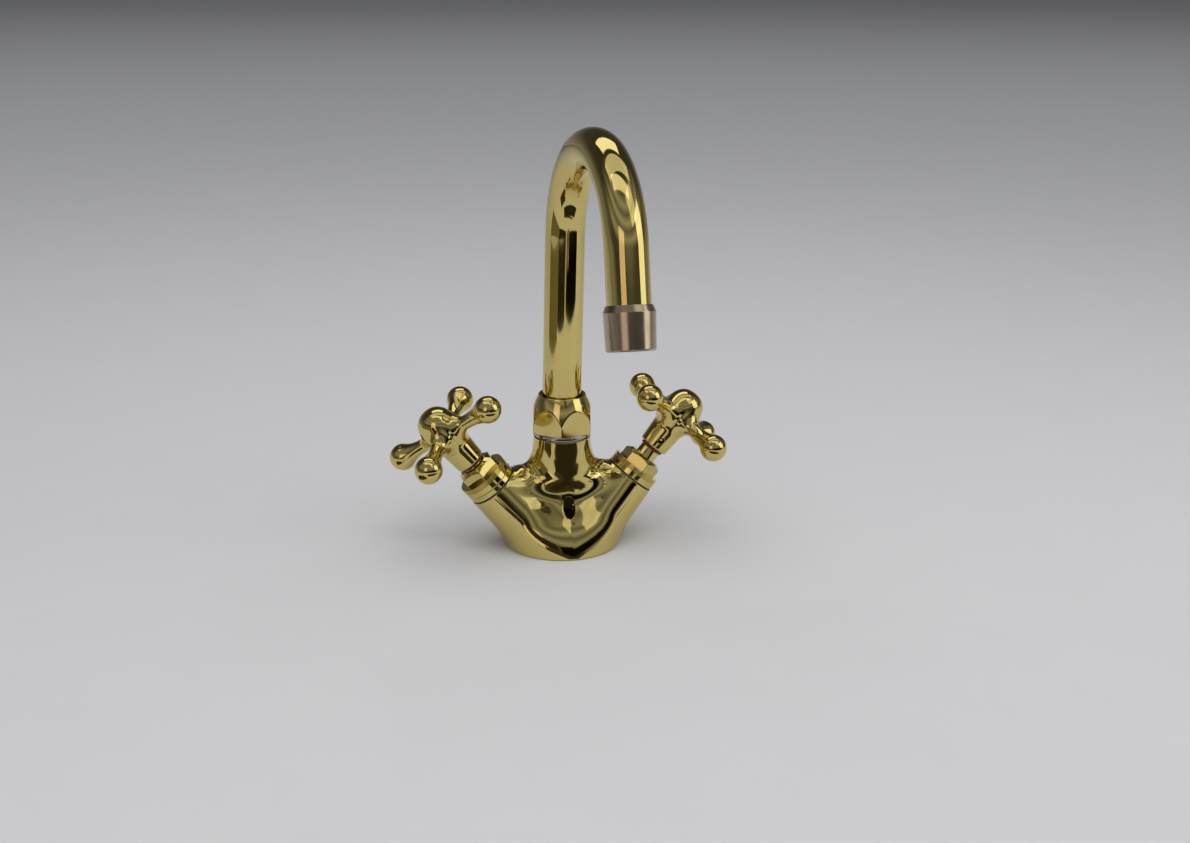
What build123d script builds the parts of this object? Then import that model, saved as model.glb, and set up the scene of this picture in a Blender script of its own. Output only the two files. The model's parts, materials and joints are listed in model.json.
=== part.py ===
from build123d import *
import math
import os

# A single-hole basin mixer in polished brass: cast V-shaped body, swivelling swan-neck spout held by
# a domed hexagonal nut, and two oblique rising-spindle valves with cross handles.
# Sizes are in millimetres and degrees. The origin is the centre of the foot on the basin's surface,
# X points from the left valve to the right one, Y points away from the side that the spout faces,
# and Z points up.
# Each valve is drawn about its own axis: height 0 is the face of the body's port, and height grows
# outwards, towards the handle.

# Body casting
foot_radius = 25.0
rim_radius = 24.4
neck_radius = 13.2
neck_height = 52.8
flare_top = 35.3
flare_radius = 35.0
flare_angle = 35.0
web_fillet = 6.0
spigot_radius = 11.0
spigot_length = 13.2
mixing_radius = 7.0
mixing_floor = 24.0
mixing_roof = 36.0
side_passage_radius = 3.5
side_passage_height = 26.5

# Ports and valve seats
port_tilt = 39.5
port_offset = 33.0
port_height = 30.0
port_radius = 12.3
port_edge = 0.4
port_thread_radius = 10.2
port_thread_depth = 9.2
chamber_radius = 8.2
seat_depth = 19.0
seat_bore_radius = 4.0
seat_bore_length = 13.0
seat_lip_height = 1.0
seat_lip_width = 1.4

# Holes in the foot
inlet_radius = 4.6
inlet_depth = 12.0
inlet_offset = 9.5
stud_radius = 3.4
stud_depth = 14.0
stud_offset = 12.0
rod_hole_radius = 2.8
rod_hole_offset = 16.0
rod_hole_top = 24.4
base_seal_inner = 20.6
base_seal_outer = 22.9
base_seal_height = 2.3

# Clearances
running_gap = 0.05
seat_gap = 0.05
rest_gap = 0.3

# Headworks, which screw into the ports
port_seal_height = 0.6
left_spacer_height = 2.6
collar_radius = 12.0
collar_height = 5.2
collar_band = 2.9
ridge_count = 3
ridge_depth = 0.45
ridge_width = 0.35
headwork_hex = 17.0
headwork_hex_height = 6.0
headwork_hex_top_radius = 7.0
headwork_hex_chamfer = 2.0
headwork_thread_length = 8.0
headwork_skirt_radius = 7.6
headwork_skirt_length = 1.6

# Spindles, seals and jumper valves
thread_pitch = 2.0
open_turns = 2.0
screw_radius = 6.0
screw_length = 7.2
screw_bottom = -13.2
screw_travel_gap = 0.5
stem_radius = 4.9
stem_bore_gap = 0.1
stem_top = 26.7
stem_chamfer = 0.5
spindle_groove_heights = (3.0, 6.5)
spindle_groove_radius = 3.7
spindle_groove_width = 2.0
seal_squeeze = 0.03
jumper_radius = 6.5
jumper_plate = 1.75
jumper_pin_radius = 2.0
jumper_pin_length = 6.8
jumper_gap = 0.2
washer_height = 2.8
washer_radius = 6.3
washer_stud_radius = 1.5
washer_nut_hex = 5.0
washer_nut_height = 1.6
washer_stud_end = 0.4

# Cross handles
handle_foot = 16.4
hub_height = 34.5
sleeve_radius = 7.0
sleeve_top_radius = 7.6
sleeve_edge = 0.5
sleeve_top = -9.0
shoulder_radius = 9.2
shoulder_height = 3.0
dome_height = 10.9
dome_fullness = 0.74
arm_root = 3.0
arm_root_flare = 12.0
arm_neck_start = 13.5
arm_reach = 26.9
arm_ball_radius = 6.3
arm_neck_radius = 3.3
arm_flare_radius = 20.0
arm_count = 4
left_handle_turn = 149.0
right_handle_turn = 32.0
right_handle_seat = 1.4
grub_height = -13.4
grub_radius = 1.5
grub_length = 1.8
grub_bite = 0.45
grub_socket = 1.5
grub_socket_depth = 0.9
grub_angle = -43.0
handle_ring_height = 0.6
handle_ring_radius = 5.6
handle_ring_gap = 0.15
handle_ring_count = 2

# Spout
tube_radius = 9.0
tube_wall = 1.0
tube_foot = 50.0
leg_lean = 1.1
lean_height = 77.0
lean_bend = 60.0
leg_top = 146.5
bend_radius = 43.8
bend_sweep = 165.5
outlet_run = 25.5
spout_turn = 3.6
ferrule_foot = 36.3
ferrule_bore = 6.0
ferrule_spigot = 6.0
ferrule_groove_heights = (40.5, 45.5)
ferrule_groove_radius = 7.7
ferrule_groove_width = 2.0
glide_ring_height = 1.15
glide_ring_radius = 10.9
snap_ring_height = 1.2
snap_ring_radius = 10.7
snap_ring_depth = 0.5
snap_ring_slot = 1.6

# Spout nut and the ring under it
neck_ring_height = 2.5
neck_ring_radius = 13.4
neck_ring_edge = 0.9
nut_hex = 26.5
nut_turn = 17.0
nut_height = 17.3
nut_mouth_radius = 9.9
nut_mouth_wall = 1.2
nut_mouth_edge = 0.6
nut_corner_flat = 4.6
nut_dome_bulge = 0.45
nut_shoulder_gap = 0.35

# Aerator
outlet_thread_length = 7.2
outlet_bore = 6.6
housing_overlap = 3.0
housing_length = 18.3
housing_top_wall = 0.4
housing_radius = 10.6
housing_end_radius = 10.15
housing_shoulder = 2.8
housing_edge = 0.7
housing_lip = 1.3
housing_lip_radius = 8.3
housing_gap = 0.12
insert_gap = 0.07
aerator_seal_height = 1.2
aerator_seal_bore = 6.5
insert_flange = 1.0
insert_wall = 1.0
insert_taper = 0.8
insert_floor = 1.2
insert_hole_radius = 0.6
insert_hole_circle = 5.0
insert_hole_count = 12
screen_height = 0.5
screen_hole_radius = 0.55
screen_hole_pitch = 1.7
screen_rings = 4


# Values that follow from the sizes above

spindle_lift = thread_pitch * open_turns
spigot_top = neck_height + spigot_length
tube_bore = tube_radius - tube_wall
neck_bore = tube_radius + running_gap
stem_bore = stem_radius + stem_bore_gap
nut_foot = neck_height + neck_ring_height
glide_ring_foot = spigot_top + seat_gap
snap_ring_foot = glide_ring_foot + glide_ring_height + seat_gap
nut_shoulder = snap_ring_foot + snap_ring_height + nut_shoulder_gap
thread_bore = spigot_radius + running_gap
seat_lip_top = -seat_depth + seat_lip_height
washer_foot = seat_lip_top + seat_gap
jumper_foot = washer_foot + washer_height
jumper_top = jumper_foot + jumper_plate
housing_bore = tube_radius + housing_gap
insert_radius = housing_bore - insert_gap


# Shapes that repeat


def turned(*corners):
    """A solid of revolution about Z from (radius, height) corners."""
    outline = Polyline(*[(radius, 0, height) for radius, height in corners], close=True)
    return revolve(make_face(outline), Axis.Z)


def turned_outline(edges):
    """A solid of revolution about Z from closed edges drawn as (radius, height)."""
    return revolve(Plane.XZ * make_face(Curve() + edges), Axis.Z)


def rod(radius, bottom, top):
    """An upright round bar between two heights."""
    return Pos(0, 0, bottom) * Cylinder(
        radius, top - bottom, align=(Align.CENTER, Align.CENTER, Align.MIN)
    )


def ring(inner, outer, bottom, top):
    """An upright round ring between two heights."""
    return rod(outer, bottom, top) - rod(inner, bottom, top)


def hex_bar(across_flats, bottom, top):
    """An upright hexagonal bar with a corner along X."""
    outline = RegularPolygon(across_flats / 2, 6, major_radius=False)
    return Pos(0, 0, bottom) * extrude(outline, top - bottom)


def o_ring(inner, outer, height):
    """A round-section seal that fills the space between two radii."""
    section = (outer - inner) / 2
    return Pos(0, 0, height) * Torus(inner + section, section)


def valve_plane(side):
    """The frame of one valve: origin in its port's face, Z along its axis, X towards the front."""
    tilt = math.radians(port_tilt)
    return Plane(
        origin=(side * port_offset, 0, port_height),
        x_dir=(0, -1, 0),
        z_dir=(side * math.sin(tilt), 0, math.cos(tilt)),
    )


def lean_place():
    """The small sideways lean of everything on the spout above the lean's height."""
    return Pos(0, 0, lean_height) * Rot(0, leg_lean, 0) * Pos(0, 0, -lean_height)


def outlet_plane():
    """The frame of the spout's end before it leans: origin where the tube stops, Z downstream."""
    sweep = math.radians(bend_sweep)
    reach = bend_radius * (1 - math.cos(sweep)) + outlet_run * math.sin(sweep)
    height = leg_top + bend_radius * math.sin(sweep) + outlet_run * math.cos(sweep)
    return Plane(
        origin=(0, -reach, height),
        x_dir=(1, 0, 0),
        z_dir=(0, -math.sin(sweep), math.cos(sweep)),
    )


def swivelled(shape):
    """Turns a spout piece to the way that the spout faces at rest."""
    return Rot(0, 0, spout_turn) * shape


# Body casting


def body_core():
    """The neck with its flare: upright, hollow curve, straight slope, then a round rim."""
    turn = math.radians(flare_angle)
    slope_radius = neck_radius + flare_radius * (1 - math.cos(turn))
    slope_height = flare_top - flare_radius * math.sin(turn)
    width = rim_radius - slope_radius
    rim_arc = (slope_height * math.sin(turn) - width * math.cos(turn)) / (1 - math.cos(turn))
    rim_point_radius = rim_radius - rim_arc * (1 - math.cos(turn))
    rim_point_height = rim_arc * math.sin(turn)
    edges = [
        Line((0, 0), (rim_radius, 0)),
        CenterArc((rim_radius - rim_arc, 0), rim_arc, 0, flare_angle),
        Line((rim_point_radius, rim_point_height), (slope_radius, slope_height)),
        CenterArc((neck_radius + flare_radius, flare_top), flare_radius, 180, flare_angle),
        Line((neck_radius, flare_top), (neck_radius, neck_height)),
        Line((neck_radius, neck_height), (0, neck_height)),
        Line((0, neck_height), (0, 0)),
    ]
    return turned_outline(edges)


def body_arm(side):
    """One arm of the V: a skewed cone from the round foot to the port's rim."""
    foot = Plane(origin=(0, 0, 0), x_dir=(0, -1, 0), z_dir=(0, 0, 1)) * Circle(foot_radius)
    port = valve_plane(side) * Circle(port_radius)
    return loft([foot, port])


def port_cavity():
    """What is bored along one valve's axis, with the raised seat left standing."""
    thread = rod(port_thread_radius + running_gap, -port_thread_depth, port_radius)
    chamber = rod(chamber_radius, -seat_depth, -port_thread_depth + seat_gap)
    seat_bore = rod(seat_bore_radius, -seat_depth - seat_bore_length, -seat_depth + seat_gap)
    seat_lip = ring(
        seat_bore_radius, seat_bore_radius + seat_lip_width, -seat_depth, seat_lip_top
    )
    return thread + (chamber - seat_lip) + seat_bore


def side_passage(side):
    """The passage from one valve chamber to the mixing chamber in the neck."""
    reach = port_offset - (port_thread_depth + seat_depth) / 2 * math.sin(math.radians(port_tilt))
    drill = Cylinder(side_passage_radius, reach, align=(Align.CENTER, Align.CENTER, Align.MIN))
    return Pos(0, 0, side_passage_height) * Rot(0, side * 90, 0) * drill


def rod_hole():
    """The upright hole through the sloping front, with a round end where it meets the neck."""
    hole = rod(rod_hole_radius, -rod_hole_radius, rod_hole_top) + Pos(0, 0, rod_hole_top) * Sphere(
        rod_hole_radius
    )
    return Pos(0, -rod_hole_offset, 0) * hole


def faucet_body():
    """The casting: arms and neck blended together, then bored."""
    body = body_arm(-1) + body_arm(1) + body_core()
    webs = [edge for edge in body.edges() if edge.geom_type not in (GeomType.LINE, GeomType.CIRCLE)]
    body = fillet(webs, web_fillet)
    rims = [
        edge
        for edge in body.edges().filter_by(GeomType.CIRCLE)
        if abs(edge.radius - port_radius) < seat_gap
    ]
    body = chamfer(rims, port_edge)
    body += rod(spigot_radius, neck_height, spigot_top)
    body -= rod(neck_bore, mixing_roof, spigot_top)
    body -= rod(mixing_radius, mixing_floor, mixing_roof)
    for side in (-1, 1):
        body -= valve_plane(side).location * port_cavity()
        body -= side_passage(side)
        body -= Pos(side * inlet_offset, 0, 0) * rod(inlet_radius, 0, inlet_depth)
    body -= Pos(0, stud_offset, 0) * rod(stud_radius, 0, stud_depth)
    body -= rod_hole()
    body -= ring(
        base_seal_inner - running_gap,
        base_seal_outer + running_gap,
        0,
        base_seal_height + running_gap,
    )
    return body


def base_seal():
    """The rubber ring in the foot's groove, level with the foot."""
    return ring(base_seal_inner, base_seal_outer, 0, base_seal_height)


# Headworks


def port_seal():
    """The thin black ring between the port's face and what screws down on it."""
    return ring(port_thread_radius + running_gap, collar_radius, 0, port_seal_height)


def spacer_ring():
    """The plain ring that lifts the left headwork."""
    foot = port_seal_height
    return ring(
        port_thread_radius + running_gap, collar_radius, foot, foot + left_spacer_height
    )


def headwork(lift):
    """Ridged collar, hexagon, thread and skirt, bored for the spindle; lift is the spacer's height."""
    foot = port_seal_height + lift
    collar_top = foot + collar_height
    hex_top = collar_top + headwork_hex_height
    body = rod(collar_radius, foot, collar_top)
    ridge_pitch = (collar_height - collar_band) / ridge_count
    for number in range(ridge_count):
        groove = foot + collar_band + number * ridge_pitch
        body -= ring(
            collar_radius - ridge_depth, collar_radius + ridge_depth, groove, groove + ridge_width
        )
    corner = headwork_hex / math.sqrt(3)
    cone = turned(
        (0, collar_top),
        (corner, collar_top),
        (corner, hex_top - headwork_hex_chamfer),
        (headwork_hex_top_radius, hex_top),
        (0, hex_top),
    )
    body += hex_bar(headwork_hex, collar_top, hex_top) & cone
    body += rod(port_thread_radius, foot - headwork_thread_length, foot)
    skirt_end = foot - headwork_thread_length - headwork_skirt_length
    body += rod(headwork_skirt_radius, skirt_end, foot)
    body -= rod(stem_bore, skirt_end, hex_top)
    screw_end = screw_bottom + screw_length + spindle_lift + screw_travel_gap + lift
    body -= rod(screw_radius + running_gap, skirt_end, screw_end)
    return body


# Spindles and what they carry


def spindle(seat):
    """The rising spindle: coarse screw below, sealed stem above, a blind hole for the jumper's pin.
    Seat is how much higher than usual the handle is clamped."""
    screw_top = screw_bottom + screw_length
    body = turned(
        (0, screw_bottom),
        (screw_radius, screw_bottom),
        (screw_radius, screw_top),
        (stem_radius, screw_top),
        (stem_radius, stem_top - stem_chamfer),
        (stem_radius - stem_chamfer, stem_top),
        (0, stem_top),
    )
    half = spindle_groove_width / 2
    for height in spindle_groove_heights:
        body -= ring(spindle_groove_radius, screw_radius, height - half, height + half)
    pin_hole_top = jumper_top + jumper_pin_length + jumper_gap
    body -= rod(jumper_pin_radius + running_gap, screw_bottom, pin_hole_top)
    return body - Pos(0, 0, seat) * grub_drill(stem_radius - grub_bite, sleeve_radius)


def spindle_seals():
    """The two rings on the stem."""
    outer = stem_bore - seal_squeeze
    return [o_ring(spindle_groove_radius, outer, height) for height in spindle_groove_heights]


def handle_rings():
    """The red-brown rings on the stem under the handle."""
    pitch = handle_ring_height + handle_ring_gap
    foot = handle_foot - handle_ring_count * pitch
    inner = stem_radius + running_gap / 2
    return [
        ring(
            inner,
            handle_ring_radius,
            foot + number * pitch,
            foot + number * pitch + handle_ring_height,
        )
        for number in range(handle_ring_count)
    ]


def jumper_valve():
    """The plate that carries the washer, with a pin above and a stud below."""
    stud_end = washer_foot - washer_nut_height - washer_stud_end
    plate = rod(jumper_radius, jumper_foot, jumper_top)
    pin = rod(jumper_pin_radius, jumper_top, jumper_top + jumper_pin_length)
    return plate + pin + rod(washer_stud_radius, stud_end, jumper_foot)


def tap_washer():
    """The rubber washer that shuts on the seat."""
    return ring(washer_stud_radius + running_gap, washer_radius, washer_foot, jumper_foot)


def washer_nut():
    """The small nut that holds the washer, inside the seat's bore."""
    nut = hex_bar(washer_nut_hex, washer_foot - washer_nut_height, washer_foot)
    return nut - rod(washer_stud_radius + running_gap, washer_foot - washer_nut_height, washer_foot)


# Cross handles


def handle_hub():
    """Flared sleeve, shoulder and dome as one turned shape about the hub's centre."""
    foot = handle_foot - hub_height
    edges = [
        Line((0, foot), (sleeve_radius - sleeve_edge, foot)),
        CenterArc((sleeve_radius - sleeve_edge, foot + sleeve_edge), sleeve_edge, 270, 90),
        Line((sleeve_radius, foot + sleeve_edge), (sleeve_top_radius, sleeve_top)),
        Spline(
            [
                (sleeve_top_radius, sleeve_top),
                (shoulder_radius, shoulder_height),
                (shoulder_radius * dome_fullness, shoulder_height + dome_height * dome_fullness),
                (0, shoulder_height + dome_height),
            ],
            tangents=[(sleeve_top_radius - sleeve_radius, sleeve_top - foot), (-1, 0)],
        ),
        Line((0, shoulder_height + dome_height), (0, foot)),
    ]
    seam_between_arms = Rot(0, 0, 180 / arm_count)
    return seam_between_arms * turned_outline(edges)


def handle_arm():
    """One arm along X: a root that narrows along a hollow curve to the neck, and a second hollow
    curve that swells into the ball."""
    rise = math.sqrt(
        (arm_ball_radius + arm_flare_radius) ** 2 - (arm_neck_radius + arm_flare_radius) ** 2
    )
    flare_start = arm_reach - rise
    flare_centre = (flare_start, arm_neck_radius + arm_flare_radius)
    meet = math.degrees(math.atan2(arm_neck_radius + arm_flare_radius, rise))
    root_turn = math.asin((arm_neck_start - arm_root) / arm_root_flare)
    root_radius = arm_neck_radius + arm_root_flare * (1 - math.cos(root_turn))
    root_centre = (arm_neck_start, arm_neck_radius + arm_root_flare)
    root_degrees = math.degrees(root_turn)
    edges = [
        Line((arm_root, 0), (arm_root, root_radius)),
        CenterArc(root_centre, arm_root_flare, 270 - root_degrees, root_degrees),
        Line((arm_neck_start, arm_neck_radius), (flare_start, arm_neck_radius)),
        CenterArc(flare_centre, arm_flare_radius, 270, 90 - meet),
        CenterArc((arm_reach, 0), arm_ball_radius, 0, 180 - meet),
        Line((arm_reach + arm_ball_radius, 0), (arm_root, 0)),
    ]
    return revolve(make_face(Curve() + edges), Axis.X)


def grub_drill(inner, outer):
    """A radial drill for the grub screw, in the valve's frame with the first arm along X."""
    aim = Pos(0, 0, hub_height + grub_height) * Rot(0, 0, grub_angle) * Rot(0, 90, 0)
    return aim * rod(grub_radius + running_gap, inner, outer)


def handle():
    """One cross handle, in the valve's frame with its first arm along X."""
    body = handle_hub()
    for number in range(arm_count):
        body += Rot(0, 0, number * 360 / arm_count) * handle_arm()
    body = Pos(0, 0, hub_height) * body
    body -= rod(stem_radius + running_gap, handle_foot, stem_top + rest_gap)
    return body - grub_drill(0, 2 * sleeve_radius)


def grub_screw():
    """The socket screw that bites into the stem."""
    start = stem_radius - grub_bite + running_gap
    screw = rod(grub_radius, start, start + grub_length)
    screw -= hex_bar(grub_socket, start + grub_length - grub_socket_depth, start + grub_length)
    aim = Pos(0, 0, hub_height + grub_height) * Rot(0, 0, grub_angle) * Rot(0, 90, 0)
    return aim * screw


# Spout


def tube_path():
    """The tube's centre line: up the foot, over into the lean, up the leg, round the bend, and out."""
    lean = math.radians(leg_lean)
    half_lean = lean_bend * math.tan(lean / 2)
    lean_start = (0, 0, lean_height - half_lean)
    lean_end = (half_lean * math.sin(lean), 0, lean_height + half_lean * math.cos(lean))
    foot = Line((0, 0, tube_foot), lean_start)
    tip = TangentArc(lean_start, lean_end, tangent=(0, 0, 1))
    sweep = math.radians(bend_sweep)
    arc_points = [
        (0, -bend_radius * (1 - math.cos(angle)), leg_top + bend_radius * math.sin(angle))
        for angle in (0, sweep / 2, sweep)
    ]
    end = outlet_plane().origin
    upper = [
        Line((0, 0, lean_height + half_lean), arc_points[0]),
        ThreePointArc(*arc_points),
        Line(arc_points[-1], (end.X, end.Y, end.Z)),
    ]
    return Curve() + [foot, tip, *[lean_place() * edge for edge in upper]]


def spout_tube():
    """The swan-neck tube with the groove for its split ring."""
    section = Pos(0, 0, tube_foot) * (Circle(tube_radius) - Circle(tube_bore))
    tube = sweep(section, path=tube_path())
    tube -= ring(
        tube_radius - snap_ring_depth,
        nut_mouth_radius,
        snap_ring_foot - running_gap,
        snap_ring_foot + snap_ring_height + running_gap,
    )
    return tube


def spout_ferrule():
    """The bush in the spout's foot, with two seal grooves."""
    body = rod(tube_radius, ferrule_foot, tube_foot)
    body += rod(tube_bore - running_gap, tube_foot, tube_foot + ferrule_spigot)
    body -= rod(ferrule_bore, ferrule_foot, tube_foot + ferrule_spigot)
    half = ferrule_groove_width / 2
    for height in ferrule_groove_heights:
        body -= ring(ferrule_groove_radius, neck_bore, height - half, height + half)
    return body


def spout_seals():
    """The two rings on the ferrule."""
    outer = neck_bore - seal_squeeze
    return [o_ring(ferrule_groove_radius, outer, height) for height in ferrule_groove_heights]


def glide_ring():
    """The plastic ring that the split ring turns on."""
    return ring(
        neck_bore + running_gap,
        glide_ring_radius,
        glide_ring_foot,
        glide_ring_foot + glide_ring_height,
    )


def snap_ring():
    """The split ring in the tube's groove."""
    body = ring(
        tube_radius - snap_ring_depth + running_gap,
        snap_ring_radius,
        snap_ring_foot,
        snap_ring_foot + snap_ring_height,
    )
    slot = Box(
        snap_ring_slot,
        2 * snap_ring_radius,
        2 * snap_ring_height,
        align=(Align.CENTER, Align.MIN, Align.CENTER),
    )
    return body - Pos(0, 0, snap_ring_foot + snap_ring_height / 2) * slot


def neck_ring():
    """The rounded silvery ring on the neck's shoulder."""
    body = ring(thread_bore, neck_ring_radius, neck_height, nut_foot)
    rims = [
        edge
        for edge in body.edges().filter_by(GeomType.CIRCLE)
        if abs(edge.radius - neck_ring_radius) < running_gap
    ]
    return fillet(rims, neck_ring_edge)


def spout_nut():
    """A hexagon whose top is turned to a tall dome, bored for the spigot and for the spout."""
    corner = nut_hex / math.sqrt(3)
    top = nut_foot + nut_height
    rim = nut_mouth_radius + nut_mouth_wall
    low = (corner, nut_foot + nut_corner_flat)
    high = (rim, top - nut_mouth_edge)
    middle = ((low[0] + high[0]) / 2 + nut_dome_bulge, (low[1] + high[1]) / 2)
    edges = [
        Line((0, nut_foot), (corner, nut_foot)),
        Line((corner, nut_foot), low),
        ThreePointArc(low, middle, high),
        Line(high, (rim - nut_mouth_edge, top)),
        Line((rim - nut_mouth_edge, top), (0, top)),
        Line((0, top), (0, nut_foot)),
    ]
    body = Rot(0, 0, nut_turn) * hex_bar(nut_hex, nut_foot, top) & turned_outline(edges)
    body -= rod(nut_mouth_radius, nut_foot, top)
    return body - rod(thread_bore, nut_foot, nut_shoulder)


# Aerator, drawn about the outlet's axis with height 0 where the tube stops


def outlet_ferrule():
    """The threaded bush in the tube's end."""
    body = rod(tube_bore - running_gap, -ferrule_spigot, 0)
    body += rod(tube_radius, 0, outlet_thread_length)
    return body - rod(outlet_bore, -ferrule_spigot, outlet_thread_length)


def aerator_housing():
    """The turned shell: sloping shoulder, slight taper, rounded end with an inner lip."""
    top = -housing_overlap
    end = top + housing_length
    body = turned(
        (housing_bore, top),
        (housing_bore + housing_top_wall, top),
        (housing_radius, top + housing_shoulder),
        (housing_end_radius, end),
        (housing_lip_radius, end),
        (housing_lip_radius, end - housing_lip),
        (housing_bore, end - housing_lip),
    )
    rims = [
        edge
        for edge in body.edges().filter_by(GeomType.CIRCLE)
        if min(abs(edge.radius - housing_end_radius), abs(edge.radius - housing_radius)) < running_gap
    ]
    return fillet(rims, housing_edge)


def aerator_seal():
    """The flat ring between the outlet's thread and the insert."""
    return ring(
        aerator_seal_bore,
        insert_radius,
        outlet_thread_length,
        outlet_thread_length + aerator_seal_height,
    )


def aerator_insert():
    """The plastic flow former: a flanged cup whose floor has a circle of jets."""
    top = outlet_thread_length + aerator_seal_height
    end = housing_length - housing_overlap - housing_lip - screen_height
    cup_radius = insert_radius - insert_taper
    body = rod(insert_radius, top, top + insert_flange) + rod(cup_radius, top, end)
    body -= rod(cup_radius - insert_wall, top + insert_floor, end)
    for number in range(insert_hole_count):
        jet = Pos(insert_hole_circle, 0, 0) * rod(insert_hole_radius, top, top + insert_floor)
        body -= Rot(0, 0, number * 360 / insert_hole_count) * jet
    return body


def aerator_screen():
    """The perforated disc that rests on the housing's lip."""
    end = housing_length - housing_overlap - housing_lip
    body = rod(insert_radius, end - screen_height, end)
    spots = HexLocations(screen_hole_pitch / 2, 2 * screen_rings + 1, 2 * screen_rings + 1)
    reach = screen_rings * screen_hole_pitch
    holes = [
        Pos(spot.position.X, spot.position.Y, 0) * rod(screen_hole_radius, end - screen_height, end)
        for spot in spots
        if spot.position.length < reach
    ]
    return body - holes


# Assembly: every node's name and its solids


def valve_nodes(name, side, turn, lift, seat):
    """The nodes of one valve, in its port's frame. Its headwork stands on a spacer as high as lift,
    and its handle is clamped higher on the spindle by seat."""
    place = valve_plane(side).location
    turned_place = place * Rot(0, 0, turn)
    clamped_place = turned_place * Pos(0, 0, seat)
    nodes = {
        "port_seal": place * port_seal(),
        "headwork": place * headwork(lift),
        "jumper_valve": place * jumper_valve(),
        "tap_washer": place * tap_washer(),
        "washer_nut": place * washer_nut(),
        "spindle": turned_place * spindle(seat),
        "handle": clamped_place * handle(),
        "grub_screw": clamped_place * grub_screw(),
        "spindle_seals": [place * seal for seal in spindle_seals()],
        "handle_rings": [clamped_place * part for part in handle_rings()],
    }
    return {f"{name}_{node}": shape for node, shape in nodes.items()}


def spout_nodes():
    """The nodes that swivel with the spout."""
    outlet = lean_place() * outlet_plane().location
    nodes = {
        "spout_tube": spout_tube(),
        "spout_ferrule": spout_ferrule(),
        "spout_seals": spout_seals(),
        "spout_snap_ring": snap_ring(),
        "outlet_ferrule": outlet * outlet_ferrule(),
        "aerator_housing": outlet * aerator_housing(),
        "aerator_seal": outlet * aerator_seal(),
        "aerator_insert": outlet * aerator_insert(),
        "aerator_screen": outlet * aerator_screen(),
    }
    return {
        node: [swivelled(part) for part in shape] if isinstance(shape, list) else swivelled(shape)
        for node, shape in nodes.items()
    }


def all_nodes():
    """Every node of the faucet."""
    nodes = {
        "faucet_body": faucet_body(),
        "base_seal": base_seal(),
        "left_spacer_ring": valve_plane(-1).location * spacer_ring(),
        "spout_glide_ring": glide_ring(),
        "neck_ring": neck_ring(),
        "spout_nut": spout_nut(),
    }
    nodes.update(spout_nodes())
    nodes.update(valve_nodes("left", -1, left_handle_turn, left_spacer_height, 0))
    nodes.update(valve_nodes("right", 1, right_handle_turn, 0, right_handle_seat))
    return nodes


os.makedirs("parts", exist_ok=True)
for node_name, node_shape in all_nodes().items():
    solids = node_shape if isinstance(node_shape, list) else [node_shape]
    export_step(Compound(children=solids), os.path.join("parts", node_name + ".step"))
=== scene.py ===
import json
import math

import bpy
import numpy as np
from bpy.props import FloatProperty, FloatVectorProperty, PointerProperty
from mathutils import Matrix, Vector


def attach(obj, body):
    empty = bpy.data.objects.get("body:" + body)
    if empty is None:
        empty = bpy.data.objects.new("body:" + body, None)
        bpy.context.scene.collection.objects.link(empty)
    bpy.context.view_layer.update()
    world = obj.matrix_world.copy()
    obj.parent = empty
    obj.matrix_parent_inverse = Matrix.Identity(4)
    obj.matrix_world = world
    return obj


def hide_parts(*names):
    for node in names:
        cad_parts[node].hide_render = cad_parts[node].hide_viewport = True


bl_info = {
    "name": "Single-hole basin mixer",
    "version": (1, 0, 0),
    "blender": (4, 5, 0),
    "location": "View3D > Sidebar > Mixer",
    "description": "Polished skins, finishes and a studio for a brass basin mixer",
    "category": "Object",
}

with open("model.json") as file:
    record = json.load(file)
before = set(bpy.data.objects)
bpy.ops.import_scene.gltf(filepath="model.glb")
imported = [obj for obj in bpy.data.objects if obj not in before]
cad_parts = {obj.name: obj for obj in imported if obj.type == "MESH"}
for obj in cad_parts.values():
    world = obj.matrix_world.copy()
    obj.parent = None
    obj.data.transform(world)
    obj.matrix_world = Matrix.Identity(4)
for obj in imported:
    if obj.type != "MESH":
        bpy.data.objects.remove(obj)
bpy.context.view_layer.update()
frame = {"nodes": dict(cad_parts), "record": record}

mm = 0.001

# Rounded corners: the most of a side that an arc takes, and the points beside the arc
CUT_SHARE = 0.45
LEAD_SHARE = 0.48
LEAD_LENGTH = 1.3

# Swelled sheets: halvings, the share of the reach that finds nothing, and the dip near that limit
HALVINGS = 22
REACH_LIMIT = 0.999
SHEET_DIP = 0.3 * mm
DIP_START = 0.7
DIP_END = 0.95
TINY = 1e-9

# Body casting
NECK_HEIGHT = 52.8 * mm
NECK_LIP = 0.4 * mm
FOOT_EDGE = 0.5 * mm
FLARE_TOP = 35.3 * mm
FLARE_RADIUS = 35.0 * mm
FLARE_ANGLE = math.radians(35)
RIM_RADIUS = 24.4 * mm
BODY_BLEND = 9.0 * mm
NECK_BLEND = 18.0 * mm
BODY_REACH = 11.0 * mm
FLARE_SHORTENING = 0.18
CONE_SHORTENING = 0.9
ARC_POINTS = 24
CORE_COLUMNS = 200
PORT_OFFSET = 33.0 * mm
PORT_HEIGHT = 30.0 * mm
PORT_RADIUS = 12.3 * mm
PORT_EDGE = 0.35 * mm
PORT_BORE = 10.25 * mm
PORT_BORE_DEPTH = 9.2 * mm
PORT_ROWS = 108
PORT_COLUMNS = 180
PORT_START = 0.012
PORT_FADE_START = 0.97
PORT_FADE_END = 0.995
PORT_CLOSING = 3.0 * mm
CHAMBER_RADIUS = 8.2 * mm
SEAT_DEPTH = 19.0 * mm
SPIGOT_RADIUS = 11.0 * mm
SPIGOT_TOP = 66.0 * mm
NECK_BORE = 9.05 * mm
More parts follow.
